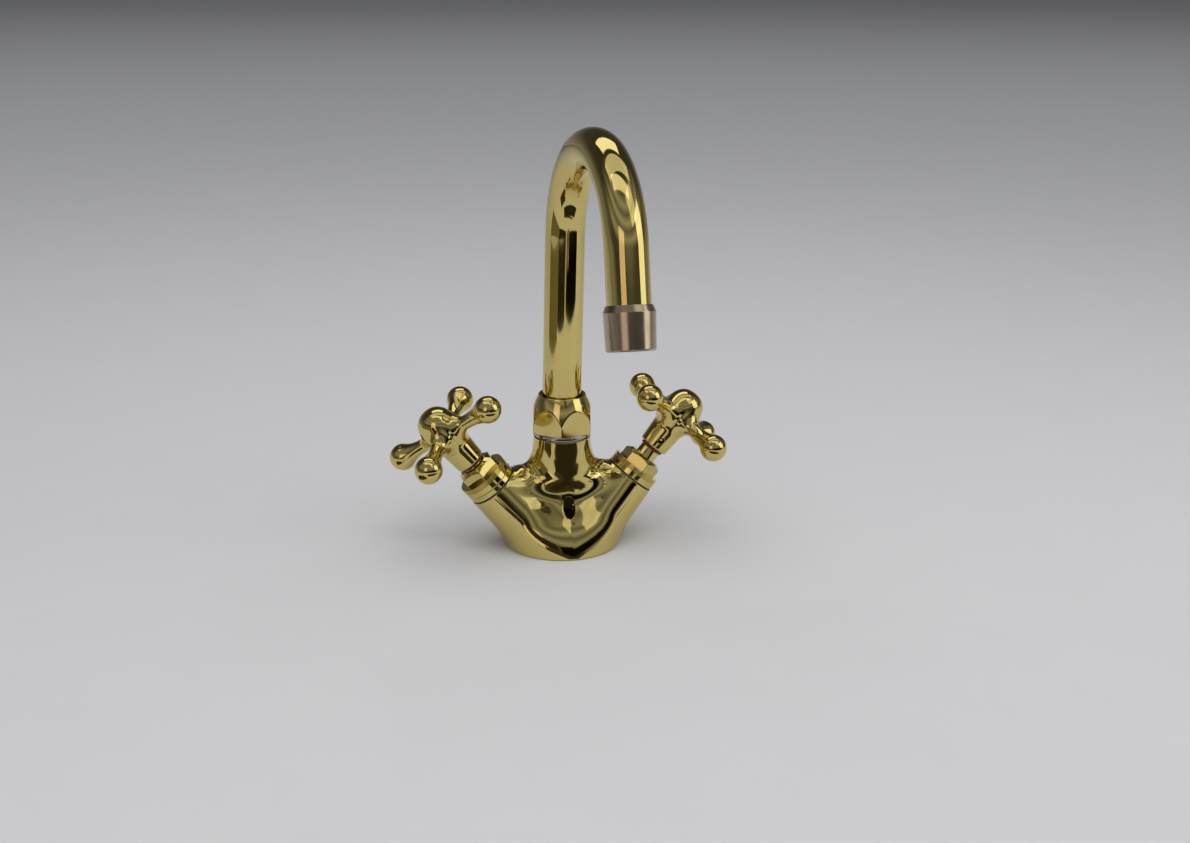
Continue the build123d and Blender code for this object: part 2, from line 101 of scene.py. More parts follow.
MIXING_FLOOR = 24.0 * mm
ROD_HOLE_RADIUS = 2.8 * mm
ROD_HOLE_OFFSET = 16.0 * mm
ROD_HOLE_TOP = 24.4 * mm
ROD_HOLE_SINK = 9.0 * mm
ROD_HOLE_FLOOR = 1.0 * mm
RIM_SNAP = 0.1 * mm
HOLE_RIM = 0.01 * mm
FRONT_CROWDING = 0.7
FINE_STEP = 0.3 * mm
COARSE_STEP = 0.5 * mm
UNDERSIDE_STEP = 0.8 * mm
FINE_START = 10.0 * mm
FINE_END = 46.0 * mm
WALL_SHARE = 0.45
INLET_OFFSET = 9.5 * mm
INLET_RADIUS = 4.6 * mm
STUD_OFFSET = 12.0 * mm
STUD_RADIUS = 3.4 * mm
UNDERSIDE_HOLES = (
    (INLET_OFFSET, 0.0, INLET_RADIUS),
    (-INLET_OFFSET, 0.0, INLET_RADIUS),
    (0.0, STUD_OFFSET, STUD_RADIUS),
    (0.0, -ROD_HOLE_OFFSET, ROD_HOLE_RADIUS),
)
UNDERSIDE_START = 0.3 * mm
UNDERSIDE_FADE = 0.9
UNDERSIDE_SKIN = 0.01 * mm
UNDERSIDE_SINK = 11.0 * mm

# Nut and ring on the neck
RING_RADIUS = 13.4 * mm
RING_HEIGHT = 2.5 * mm
RING_COLUMNS = 192
NUT_TURN = math.radians(17)
NUT_HEIGHT = 17.3 * mm
NUT_CORNER_FLAT = 4.6 * mm
NUT_BULGE = 0.45 * mm
NUT_MOUTH = 9.9 * mm
NUT_MOUTH_WALL = 1.2 * mm
NUT_MOUTH_DEPTH = 4.0 * mm
NUT_RIM_DROP = 0.6 * mm
NUT_RIM_STEP = 0.2 * mm
NUT_SIDE_START = 3.0 * mm
NUT_DOME_ROWS = 40
NUT_STEP = 0.25 * mm
NUT_SOFTNESS = 0.25 * mm
NUT_COLUMNS = 360

# Spout
TUBE_FOOT = 50.0 * mm
TUBE_WALL = 1.0 * mm
LEG_LEAN = math.radians(1.1)
LEAN_HEIGHT = 77.0 * mm
LEAN_EASE = 1.2 * mm
LEG_TOP = 146.5 * mm
BEND_SWEEP = math.radians(165.5)
OUTLET_RUN = 25.5 * mm
SPOUT_TURN = math.radians(3.6)
TUBE_ROWS = 240
TUBE_COLUMNS = 128
TUBE_END_ROWS = 8

# Aerator
HOUSING_OVERLAP = 3.0 * mm
HOUSING_LENGTH = 18.3 * mm
HOUSING_BORE = 9.12 * mm
HOUSING_SHOULDER = 2.8 * mm
HOUSING_END = 10.15 * mm
HOUSING_LIP = 8.3 * mm
HOUSING_LIP_HEIGHT = 1.3 * mm
HOUSING_RIM = 0.4 * mm
HOUSING_CLOSING_LOW = 4.0 * mm
HOUSING_CLOSING_HIGH = 6.0 * mm
HOUSING_COLUMNS = 192

# Headworks
SEAL_HEIGHT = 0.6 * mm
SPACER_HEIGHT = 2.6 * mm
COLLAR_RADIUS = 12.0 * mm
COLLAR_HEIGHT = 5.2 * mm
COLLAR_BAND = 2.9 * mm
RIDGE_DEPTH = 0.45 * mm
RIDGES = 3
RIDGE_EDGE = 0.15 * mm
GROOVE_EDGE = 0.06 * mm
GROOVE_LOW = 0.1 * mm
GROOVE_HIGH = 0.28 * mm
GROOVE_TOP = 0.38 * mm
COLLAR_COLUMNS = 288
SPACER_GAP = 0.05 * mm
SPACER_COLUMNS = 256
HEX_WIDTH = 17.0 * mm
HEX_HEIGHT = 6.0 * mm
HEX_TOP = 7.0 * mm
HEX_SINK = 0.2 * mm
HEX_CHAMFER = 2.0 * mm
HEX_STEP = 0.15 * mm
HEX_SOFTNESS = 0.15 * mm
GLAND_GAP = 0.1 * mm
GLAND_DEPTH = 2.0 * mm
SPINDLE_FOOT = -13.2 * mm
SPINDLE_FOOT_RADIUS = 6.0 * mm
SPINDLE_SHOULDER = -6.0 * mm
STEM_RADIUS = 4.9 * mm
STEM_TOP = 26.7 * mm
STEM_COLUMNS = 128

# Handles
HUB_HEIGHT = 34.5 * mm
HANDLE_FOOT = -18.1 * mm
HUB_SKIN_START = 0.5 * mm
HUB_STEP = 0.16 * mm
HUB_SHOULDER_ROWS = 40
HUB_DOME_ROWS = 60
HUB_COLUMNS = 300
SOCKET_FLOOR = 27.0 * mm
SOCKET_GAP = 0.05 * mm
SLEEVE_TOP_RADIUS = 7.6 * mm
SLEEVE_TOP = -9.0 * mm
SHOULDER_HEIGHT = 3.0 * mm
DOME_HEIGHT = 10.9 * mm
DOME_POWER = 2.3
ARM_ROOT = 8.0 * mm
ARM_NECK = 3.3 * mm
ARM_NECK_START = 13.5 * mm
ARM_ROOT_FLARE = 12.0 * mm
ARM_FLARE = 20.0 * mm
ARM_BLEND = 4.5 * mm
ARM_REACH_OUT = 5.0 * mm
ARMS = 4
ARM_HUB_SHARE = 0.2
ARM_INSIDE = 4.0 * mm
ARM_SHANK_ROWS = 120
ARM_BALL_ROWS = 36
ARM_WEB_ROWS = 80
ARM_COLUMNS = 72
HANDLE_TURN = {"left": math.radians(149), "right": math.radians(32)}
HANDLE_SEAT = {"left": 0.0, "right": 1.4 * mm}
GRUB_HEIGHT = -13.4 * mm
GRUB_RADIUS = 1.55 * mm
GRUB_WALL = 6.0 * mm
GRUB_SINK = 1.9 * mm
GRUB_ANGLE = math.radians(-43)
HANDLE_RINGS = 2
HANDLE_RING_RADIUS = 5.6 * mm
HANDLE_RING_HEIGHT = 0.6 * mm
HANDLE_RING_GAP = 0.15 * mm

SIDES = {"left": -1, "right": 1}

# Finishes
HAZE_PATCH = 12.0 * mm
SHADE_PATCH = 3.0 * mm
PAPER_PATCH = 40.0 * mm
PAPER_SHADE = 0.97

# Studio
STAGE_AIM = Vector((0, -0.03, 0.06))
FLOOR_REACH = 9.0
ONLY_LIGHT = ("key_box", "ceiling")
ROOM_TINT = (0.97, 0.98, 1.0)
LENS = 45.26
SENSOR = 36.0
CAMERA_SPOT = Vector((-142.25, -647.37, 273.97)) * mm
CAMERA_RIGHT = Vector((0.9721, -0.2346, 0.0083))
CAMERA_DOWN = Vector((-0.0647, -0.3019, -0.9511))
CLIP_NEAR = 0.05
CLIP_FAR = 50


# Small numbers and curves


def smooth_step(values, low, high):
    """Rises from 0 at low to 1 at high with level ends."""
    share = np.clip((values - low) / (high - low), 0, 1)
    return share * share * (3 - 2 * share)


def smooth_low(first, second, width):
    """The lower of two fields, eased by a parabola where they differ by less than width."""
    share = np.clip(0.5 + 0.5 * (second - first) / width, 0, 1)
    return second + (first - second) * share - width * share * (1 - share)


def rounded(corners, steps=5):
    """A profile of (radius, height, rounding) corners: each corner with a rounding gives way to an arc
    that touches both sides, and each arc gets a point a little before and after it."""
    points = []
    spots = [np.array(corner[:2], float) for corner in corners]
    for number, spot in enumerate(spots):
        rounding = corners[number][2] if len(corners[number]) > 2 else 0.0
        if rounding <= 0 or number in (0, len(spots) - 1):
            points.append(spot[None])
            continue
        back = spots[number - 1] - spot
        ahead = spots[number + 1] - spot
        back_room = np.linalg.norm(back)
        ahead_room = np.linalg.norm(ahead)
        back /= back_room
        ahead /= ahead_room
        half = math.acos(float(np.clip(back @ ahead, -1, 1))) / 2
        cut = min(rounding / math.tan(half), CUT_SHARE * back_room, CUT_SHARE * ahead_room)
        centre = spot + (back + ahead) / np.linalg.norm(back + ahead) * cut / math.cos(half)
        start = spot + back * cut - centre
        end = spot + ahead * cut - centre
        turn = math.pi - 2 * half
        share = np.linspace(0, 1, steps + 1)[:, None]
        arc = (np.sin((1 - share) * turn) * start + np.sin(share * turn) * end) / math.sin(turn)
        lead = spot + back * min(cut * LEAD_LENGTH, LEAD_SHARE * back_room)
        trail = spot + ahead * min(cut * LEAD_LENGTH, LEAD_SHARE * ahead_room)
        points.append(np.vstack([lead, arc + centre, trail]))
    return np.vstack(points)


def dense(profile, step):
    """The same profile with points at most a step apart; its own points stay."""
    spans = np.linalg.norm(np.diff(profile, axis=0), axis=1)
    along = np.concatenate([[0], np.cumsum(spans)])
    samples = np.unique(np.concatenate([along, np.arange(0, along[-1], step)]))
    samples = samples[np.concatenate([[True], np.diff(samples) > step * 1e-3])]
    return np.stack([np.interp(samples, along, profile[:, axis]) for axis in (0, 1)], axis=1)


def round_angles(columns):
    """Angles of a full round, without its end."""
    return np.arange(columns) * 2 * math.pi / columns


def front_angles(columns):
    """Angles of a full round that crowd towards the front: a - 0.7 sin a, measured from it."""
    angles = round_angles(columns)
    return angles - FRONT_CROWDING * np.sin(angles) - math.pi / 2


def lathe(profile, columns, spread=round_angles):
    """Radius and height carried round Z: (radius cos, radius sin, height)."""
    angles = spread(columns)
    radius, height = profile[:, :1], profile[:, 1:]
    return np.stack(
        [radius * np.cos(angles), radius * np.sin(angles), height + 0 * angles], axis=-1
    )


def hexed(profile, width, corner_angle, columns, softness):
    """A lathe cut by a hexagon: the radius is the eased lower of the profile's and the hexagon's,
    which is half the width over the cosine of the angle from the nearest flat's middle."""
    angles = round_angles(columns)
    sixth = math.pi / 3
    off_flat = np.mod(angles - corner_angle, sixth) - sixth / 2
    hexagon = width / 2 / np.cos(off_flat)
    radius = profile[:, :1]
    cut = smooth_low(radius, hexagon[None], softness)
    cut = np.where(radius < width / 2 - softness, radius, cut)
    height = profile[:, 1:] + 0 * angles
    return np.stack([cut * np.cos(angles), cut * np.sin(angles), height], axis=-1)


def placed(points, place):
    """Points in a piece's own frame moved to the row frame by a 4 x 4 matrix."""
    matrix = np.array(place)
    return points @ matrix[:3, :3].T + matrix[:3, 3]


def axes_matrix(origin, x_axis, z_axis):
    """The 4 x 4 matrix of a frame given by its origin, X and Z."""
    x_axis, z_axis = Vector(x_axis), Vector(z_axis)
    matrix = Matrix((x_axis, z_axis.cross(x_axis), z_axis)).transposed().to_4x4()
    matrix.translation = Vector(origin)
    return matrix


def valve_place(side, turn=0.0):
    """One valve's frame: origin in the port's face, Z outwards, X to the front, turned about Z."""
    tilt = bpy.context.scene.mixer_sizes.port_tilt
    place = axes_matrix(
        (side * PORT_OFFSET, 0, PORT_HEIGHT),
        (0, -1, 0),
        (side * math.sin(tilt), 0, math.cos(tilt)),
    )
    return place @ Matrix.Rotation(turn, 4, "Z")


def spout_place():
    """The turn of the spout about the neck."""
    return Matrix.Rotation(SPOUT_TURN, 4, "Z")


def heading(azimuth, rise):
    """The direction with that azimuth from +X and height above the horizon, both in degrees."""
    turn, lift = math.radians(azimuth), math.radians(rise)
    return Vector((math.cos(lift) * math.cos(turn), math.cos(lift) * math.sin(turn), math.sin(lift)))


def lean_place(angle):
    """A small turn sideways about the point on the leg where the lean starts."""
    pivot = Matrix.Translation((0, 0, LEAN_HEIGHT))
    return pivot @ Matrix.Rotation(angle, 4, "Y") @ pivot.inverted()


def outlet_place():
    """The frame of the spout's end: origin where the tube stops, Z the way the water leaves."""
    bend = bpy.context.scene.mixer_sizes.bend_radius
    reach = bend * (1 - math.cos(BEND_SWEEP)) + OUTLET_RUN * math.sin(BEND_SWEEP)
    height = LEG_TOP + bend * math.sin(BEND_SWEEP) + OUTLET_RUN * math.cos(BEND_SWEEP)
    place = axes_matrix(
        (0, -reach, height), (1, 0, 0), (0, -math.sin(BEND_SWEEP), math.cos(BEND_SWEEP))
    )
    return spout_place() @ lean_place(LEG_LEAN) @ place


# Meshes


def grid_faces(rows, columns):
    """Quads of a grid whose columns join up, and fans to the two poles that come after it."""
    row, column = np.meshgrid(np.arange(rows - 1), np.arange(columns), indexing="ij")
    beside = (column + 1) % columns
    first = row * columns
    quads = np.stack(
        [first + column, first + beside, first + columns + beside, first + columns + column],
        axis=-1,
    ).reshape(-1, 4)
    around = np.arange(columns)
    following = (around + 1) % columns
    last = (rows - 1) * columns
    start_pole = np.full(columns, rows * columns)
    fans = np.concatenate(
        [
            np.stack([following, around, start_pole], axis=-1),
            np.stack([last + around, last + following, start_pole + 1], axis=-1),
        ]
    )
    return quads, fans


def piece(name, sheets, material, body, nodes):
    """One mesh from closed sheets, each a grid whose first and last rows are its poles."""
    vertices, quads, fans, count = [], [], [], 0
    for sheet in sheets:
        rows, columns = sheet.shape[0] - 2, sheet.shape[1]
        inner = sheet[1:-1].reshape(-1, 3)
        poles = np.stack([sheet[0].mean(axis=0), sheet[-1].mean(axis=0)])
        points = np.vstack([inner, poles])
        sheet_quads, sheet_fans = grid_faces(rows, columns)
        corner = points - points.mean(axis=0)
        # A sheet whose faces point inwards sweeps a negative volume
        swept = np.einsum(
            "ij,ij->i",
            corner[sheet_quads[:, 0]],
            np.cross(
                corner[sheet_quads[:, 1]] - corner[sheet_quads[:, 3]],
                corner[sheet_quads[:, 2]] - corner[sheet_quads[:, 0]],
            ),
        ).sum()
        if swept < 0:
            sheet_quads, sheet_fans = sheet_quads[:, ::-1], sheet_fans[:, ::-1]
        vertices.append(points)
        quads.append(sheet_quads + count)
        fans.append(sheet_fans + count)
        count += len(points)
    mesh = bpy.data.meshes.new(name)
    faces = np.vstack(quads).tolist() + np.vstack(fans).tolist()
    mesh.from_pydata(np.vstack(vertices), [], faces)
    mesh.polygons.foreach_set("use_smooth", np.ones(len(faces), bool))
    mesh.materials.append(material)
    mesh.update()
    made = bpy.data.objects.new(name, mesh)
    bpy.context.scene.collection.objects.link(made)
    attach(made, body)
    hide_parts(*nodes)
    return made


# Materials


def linear(code):
    """An sRGB hex colour as linear red, green, blue and full opacity."""
    values = np.array([int(code[start : start + 2], 16) for start in (0, 2, 4)]) / 255
    low, high = values / 12.92, ((values + 0.055) / 1.055) ** 2.4
    return (*np.where(values <= 0.04045, low, high).tolist(), 1.0)


def node(tree, kind, settings=None, inputs=None, links=None):
    """Adds one node, sets its own settings and inputs, and links other nodes' outputs to it."""
    made = tree.nodes.new(kind)
    for key, value in (settings or {}).items():
        setattr(made, key, value)
    for key, value in (inputs or {}).items():
        made.inputs[key].default_value = value
    for key, source in (links or {}).items():
        tree.links.new(source, made.inputs[key])
    return made


def blank_material(name):
    """An empty node material."""
    material = bpy.data.materials.new(name)
    material.use_nodes = True
    material.node_tree.nodes.clear()
    return material, material.node_tree


def metal(name, colour, shade, roughness, haze, wave_mm, wave_height, grain_mm, grain_height):
    """A bare metal: a slow wave from casting and polishing, a fine grain, and dull hazy patches that
    take a darker shade. The grain's height and the haze decide how sharp a reflection is."""
    material, tree = blank_material(name)
    place = node(tree, "ShaderNodeTexCoord")
    patches = node(
        tree,
        "ShaderNodeTexNoise",
        inputs={"Scale": 1 / HAZE_PATCH, "Detail": 4.0, "Roughness": 0.6},
        links={"Vector": place.outputs["Object"]},
    )
    tint = node(
        tree,
        "ShaderNodeMix",
        {"data_type": "RGBA"},
        {"A": colour, "B": shade},
        {"Factor": patches.outputs["Fac"]},
    )
    dull = node(
        tree,
        "ShaderNodeMapRange",
        inputs={
            "From Min": 0.35,
            "From Max": 0.75,
            "To Min": roughness,
            "To Max": roughness + haze,
        },
        links={"Value": patches.outputs["Fac"]},
    )
    wave = node(
        tree,
        "ShaderNodeTexNoise",
        inputs={"Scale": 1 / (wave_mm * mm), "Detail": 1.0},
        links={"Vector": place.outputs["Object"]},
    )
    grain = node(
        tree,
        "ShaderNodeTexNoise",
        inputs={"Scale": 1 / (grain_mm * mm), "Detail": 2.0},
        links={"Vector": place.outputs["Object"]},
    )
    slow = node(
        tree,
        "ShaderNodeBump",
        inputs={"Strength": 1.0, "Distance": wave_height * mm},
        links={"Height": wave.outputs["Fac"]},
    )
    fine = node(
        tree,
        "ShaderNodeBump",
        inputs={"Strength": 1.0, "Distance": grain_height * mm},
        links={"Height": grain.outputs["Fac"], "Normal": slow.outputs["Normal"]},
    )
    shader = node(
        tree,
        "ShaderNodeBsdfPrincipled",
        inputs={"Metallic": 1.0},
        links={
            "Base Color": tint.outputs["Result"],
            "Roughness": dull.outputs["Result"],
            "Normal": fine.outputs["Normal"],
        },
    )
    node(tree, "ShaderNodeOutputMaterial", links={"Surface": shader.outputs["BSDF"]})
    return material


def moulded(name, colour, shade, roughness, grain_mm, grain_height):
    """A rubber or plastic: two near shades in soft patches and a moulded grain."""
    material, tree = blank_material(name)
    place = node(tree, "ShaderNodeTexCoord")
    patches = node(
        tree,
        "ShaderNodeTexNoise",
        inputs={"Scale": 1 / SHADE_PATCH, "Detail": 3.0},
        links={"Vector": place.outputs["Object"]},
    )
    tint = node(
        tree,
        "ShaderNodeMix",
        {"data_type": "RGBA"},
        {"A": colour, "B": shade},
        {"Factor": patches.outputs["Fac"]},
    )
    grain = node(
        tree,
        "ShaderNodeTexNoise",
        inputs={"Scale": 1 / (grain_mm * mm), "Detail": 2.0},
        links={"Vector": place.outputs["Object"]},
    )
    bump = node(
        tree,
        "ShaderNodeBump",
        inputs={"Strength": 1.0, "Distance": grain_height * mm},
        links={"Height": grain.outputs["Fac"]},
    )
    shader = node(
        tree,
        "ShaderNodeBsdfPrincipled",
        inputs={"Roughness": roughness, "IOR": 1.5},
        links={"Base Color": tint.outputs["Result"], "Normal": bump.outputs["Normal"]},
    )
    node(tree, "ShaderNodeOutputMaterial", links={"Surface": shader.outputs["BSDF"]})
    return material


def chosen(name):
    """A colour from the panel, with full opacity."""
    return (*getattr(bpy.context.scene.mixer_colours, name), 1)


def cast_brass_finish():
    """Cast brass, polished by hand on a wheel: mirror-bright and golden, with a slow waviness."""
    return metal(
        "hand_polished_cast_brass", chosen("brass"), linear("d0bc70"), roughness=0.045, haze=0.05,
        wave_mm=9.0, wave_height=0.010, grain_mm=0.8, grain_height=0.0006,
    )


def turned_brass_finish():
    """Turned brass, polished while it spun: the brightest, with hardly any wave."""
    return metal(
        "polished_turned_brass", chosen("brass"), linear("d2be74"), roughness=0.05, haze=0.05,
        wave_mm=14.0, wave_height=0.004, grain_mm=0.6, grain_height=0.0008,
    )


def drawn_brass_finish():
    """Drawn brass tube: smooth along its length, a little hazy."""
    return metal(
        "polished_drawn_brass_tube", chosen("brass"), linear("d2be74"), roughness=0.045, haze=0.06,
        wave_mm=16.0, wave_height=0.006, grain_mm=0.7, grain_height=0.0006,
    )


def bronze_finish():
    """Satin bronze plating over a turned shell: soft brownish reflections."""
    return metal(
        "satin_bronze_plate", chosen("bronze"), linear("b0a086"), roughness=0.17, haze=0.06,
        wave_mm=12.0, wave_height=0.002, grain_mm=0.25, grain_height=0.0006,
    )


def nickel_finish():
    """Nickel-plated ring: cool and bright between two golden pieces."""
    return metal(
        "bright_nickel_plate", chosen("nickel"), linear("9a9a98"), roughness=0.06, haze=0.05,
        wave_mm=10.0, wave_height=0.002, grain_mm=0.5, grain_height=0.0006,
    )


def steel_finish():
    """Stainless steel of the aerator's screen: grey, with the dull shine of a turned face."""
    return metal(
        "turned_stainless_steel", linear("8d8d8f"), linear("6f6f70"), roughness=0.25, haze=0.10,
        wave_mm=6.0, wave_height=0.002, grain_mm=0.2, grain_height=0.002,
    )


def blackened_finish():
    """Alloy steel with a black oxide: the grub screws look nearly black in their holes."""
    return metal(
        "blackened_alloy_steel", linear("242426"), linear("1a1a1c"), roughness=0.40, haze=0.10,
        wave_mm=4.0, wave_height=0.002, grain_mm=0.2, grain_height=0.002,
    )


def hole_shade_finish():
    """Drilled brass that no wheel has reached, too dull to mirror the light; its dark brown colour is
    painted shade for the inside of the upright hole.
    """
    return metal(
        "painted_shade_drilled_brass", linear("3c3320"), linear("2a2416"), roughness=0.50, haze=0.10,
        wave_mm=3.0, wave_height=0.004, grain_mm=0.3, grain_height=0.004,
    )


def rubber_finish():
    """Nitrile rubber of the seals: black and dull."""
    return moulded(
        "nitrile_rubber", linear("151515"), linear("1d1c1b"), roughness=0.6, grain_mm=0.25,
        grain_height=0.01,
    )


def acetal_finish():
    """Acetal plastic of the slip ring and flow former: milky white with a soft gloss."""
    return moulded(
        "moulded_acetal", linear("e6e4dc"), linear("d8d6cd"), roughness=0.35, grain_mm=0.4,
        grain_height=0.004,
    )


def fibre_finish():
    """Vulcanised fibre of the small rings: red-brown, like hard cardboard."""
    return moulded(
        "vulcanised_fibre", chosen("fibre"), linear("5a2114"), roughness=0.45, grain_mm=0.3,
        grain_height=0.012,
    )


FINISH_MAKERS = {
    "cast_brass": cast_brass_finish,
    "turned_brass": turned_brass_finish,
    "drawn_brass": drawn_brass_finish,
    "bronze": bronze_finish,
    "nickel": nickel_finish,
    "steel": steel_finish,
    "blackened": blackened_finish,
    # The bore finish's dark brown is painted shade for the inside of the upright hole
    "bore": hole_shade_finish,
    "rubber": rubber_finish,
    "acetal": acetal_finish,
    "fibre": fibre_finish,
}
finishes = {}


def finish_named(key):
    """A finish from the list; all of them are made at the first call."""
    if not finishes:
        finishes.update({name: maker() for name, maker in FINISH_MAKERS.items()})
    return finishes[key]


# Body casting


def core_profile():
    """Outer profile of the neck and its flare: rim arc, straight slope, hollow arc, upright neck."""
    sizes = bpy.context.scene.mixer_sizes
    neck = sizes.neck_radius
    slope_radius = neck + FLARE_RADIUS * (1 - math.cos(FLARE_ANGLE))
    slope_height = FLARE_TOP - FLARE_RADIUS * math.sin(FLARE_ANGLE)
    width = RIM_RADIUS - slope_radius
    rim_arc = (slope_height * math.sin(FLARE_ANGLE) - width * math.cos(FLARE_ANGLE)) / (
        1 - math.cos(FLARE_ANGLE)
    )
    low = np.linspace(0, FLARE_ANGLE, ARC_POINTS)
    high = np.linspace(FLARE_ANGLE, 0, ARC_POINTS)
    rim = np.stack([RIM_RADIUS - rim_arc * (1 - np.cos(low)), rim_arc * np.sin(low)], axis=1)
    hollow = np.stack(
        [
            neck + FLARE_RADIUS * (1 - np.cos(high)),
            FLARE_TOP - FLARE_RADIUS * np.sin(high),
        ],
        axis=1,
    )
    return np.vstack([rim, hollow, [[neck, NECK_HEIGHT]]])


def core_field(points):
    """Distance outside the neck's profile, shortened towards the foot by about the slope's cosine."""
    profile = core_profile()
    radius = np.hypot(points[..., 0], points[..., 1])
    wall = np.interp(points[..., 2], profile[:, 1], profile[:, 0])
    lowness = smooth_step(-points[..., 2], -FLARE_TOP, 0)
    return (radius - wall) * (1 - FLARE_SHORTENING * lowness)


def arm_field(points, side):
    """Distance outside one skewed cone from the foot to the port. Sections hinge from level at the
    foot to the port's plane, so the section through a point solves a quadratic in its share."""
    sizes = bpy.context.scene.mixer_sizes
    tilt = sizes.port_tilt
    across, height = side * points[..., 0], points[..., 2]
    narrowing = PORT_RADIUS * math.cos(tilt) - sizes.foot_radius
    drop = PORT_RADIUS * math.sin(tilt)
    square = PORT_OFFSET * drop + PORT_HEIGHT * narrowing
    single = -drop * across - narrowing * height + PORT_HEIGHT * sizes.foot_radius
    fixed = -sizes.foot_radius * height
    root = np.sqrt(np.maximum(single * single - 4 * square * fixed, 0))
    share = np.clip(-2 * fixed / (single + root), 0, 1)
    wide_x = sizes.foot_radius + share * narrowing
    wide_z = -share * drop
    wide = np.hypot(wide_x, wide_z)
    deep = sizes.foot_radius * (1 - share) + PORT_RADIUS * share
    along = ((across - share * PORT_OFFSET) * wide_x + (height - share * PORT_HEIGHT) * wide_z) / wide
    reach = np.sqrt((along / wide) ** 2 + (points[..., 1] / deep) ** 2)
    return (reach - 1) * deep * CONE_SHORTENING


def body_field(points):
    """The three forms joined with soft webs, widest where the arms leave the neck."""
    arms = np.minimum(arm_field(points, -1), arm_field(points, 1))
    high = smooth_step(points[..., 2], MIXING_FLOOR, FLARE_TOP)
    return smooth_low(core_field(points), arms, BODY_BLEND + (NECK_BLEND - BODY_BLEND) * high)


def swelled(points, directions, field, reach):
    """Moves points outwards along their directions to where the field is zero, by halving the
    interval. Points that find no zero within reach stay where they are, inside, and those near the
    limit dip a little below the surface, because another sheet shows there."""
    low = np.zeros(points.shape[:-1])
    high = np.full(points.shape[:-1], reach)
    for _ in range(HALVINGS):
        middle = (low + high) / 2
        inside = field(points + directions * middle[..., None]) < 0
        low = np.where(inside, middle, low)
        high = np.where(inside, high, middle)
    dip = SHEET_DIP * smooth_step(low, DIP_START * reach, DIP_END * reach)
    moved = np.where(low > REACH_LIMIT * reach, 0, low - dip)
    return points + directions * moved[..., None]


def drilled(points, centre, axis, radius, depth, end=math.inf):
    """Sinks a round hole into the skin on the far side of the centre. Within the hole's radius the
    outer part of the disc becomes the wall and the inner part the floor, and points close to the rim
    snap to it. Past its end the hole closes like half a ball."""
    centre, axis = np.array(centre), np.array(axis)
    offset = points - centre
    along = offset @ axis
    past = np.maximum(along - end, 0)
    across = offset - (along - past)[..., None] * axis
    distance = np.linalg.norm(across, axis=-1)
    wall = radius - RIM_SNAP
    floor = wall * (1 - WALL_SHARE)
    share = np.clip((wall - distance) / (wall - floor), 0, 1)
    spread = radius / np.maximum(distance, floor)
    level = along - past - depth * share
    moved = centre + level[..., None] * axis + across * spread[..., None]
    cut = (along > 0) & (distance < radius + RIM_SNAP)
    return np.where(cut[..., None], moved, points)


def in_rod_hole(points):
    """Whether each point lies inside the upright hole in the front or on its wall, or in its round
    upper end."""
    past = np.maximum(points[:, 2] - ROD_HOLE_TOP, 0)
    across = np.stack([points[:, 0], points[:, 1] + ROD_HOLE_OFFSET, past], axis=1)
    return np.linalg.norm(across, axis=1) < ROD_HOLE_RADIUS + HOLE_RIM


def holed(points):
    """The body's skin with the upright hole in its front and the mouths of the holes in its foot."""
    centre = (0, -ROD_HOLE_OFFSET, ROD_HOLE_FLOOR)
    points = drilled(
        points, centre, (0, 0, 1), ROD_HOLE_RADIUS, ROD_HOLE_SINK, ROD_HOLE_TOP - ROD_HOLE_FLOOR
    )
    for hole_x, hole_y, radius in UNDERSIDE_HOLES:
        centre = (hole_x, hole_y, UNDERSIDE_SKIN)
        points = drilled(points, centre, (0, 0, -1), radius, UNDERSIDE_SINK)
    return points


def core_rows():
    """The neck's profile with its rows close together from below the upright hole to above the webs."""
    fine = dense(core_profile(), FINE_STEP)
    coarse = dense(core_profile(), COARSE_STEP)
    below = coarse[coarse[:, 1] < FINE_START]
    between = fine[(fine[:, 1] >= FINE_START) & (fine[:, 1] <= FINE_END)]
    above = coarse[coarse[:, 1] > FINE_END]
    return np.vstack([below, between, above])


def core_sheet():
    """The neck's profile turned round, its outer rows swelled out to the webs; foot and bores close
    it. The outer part of the foot's face widens with the lowest row of the skin."""
    neck = bpy.context.scene.mixer_sizes.neck_radius
    skin = core_rows()
    under = dense(
        np.array([[UNDERSIDE_START, 0.0], [RIM_RADIUS - FOOT_EDGE, 0.0]]), UNDERSIDE_STEP
    )
    inner = rounded(
        [
            (neck, NECK_HEIGHT - NECK_LIP),
            (neck, NECK_HEIGHT, 0.2 * mm),
            (SPIGOT_RADIUS, NECK_HEIGHT),
            (SPIGOT_RADIUS, SPIGOT_TOP, 0.4 * mm),
            (NECK_BORE, SPIGOT_TOP, 0.3 * mm),
            (NECK_BORE, MIXING_FLOOR),
            (0, MIXING_FLOOR),
        ]
    )
    profile = np.vstack([[[0.0, 0.0]], under, skin[1:-1], inner])
    foot = 1 + len(under)
    outer = np.zeros(len(profile), bool)
    outer[foot : foot + len(skin) - 2] = True
    sheet = lathe(profile, CORE_COLUMNS, front_angles)
    direction = sheet.copy()
    direction[..., 2] = 0
    direction /= np.maximum(np.linalg.norm(direction, axis=-1, keepdims=True), TINY)
    sheet[outer] = swelled(sheet[outer], direction[outer], body_field, BODY_REACH)
    rim = np.hypot(sheet[foot, :, 0], sheet[foot, :, 1])
    stretch = 1 + (rim / RIM_RADIUS - 1) * smooth_step(
        under[:, :1], UNDERSIDE_FADE * RIM_RADIUS, RIM_RADIUS - FOOT_EDGE
    )
    sheet[1:foot, :, :2] *= stretch[..., None]
    return holed(sheet)


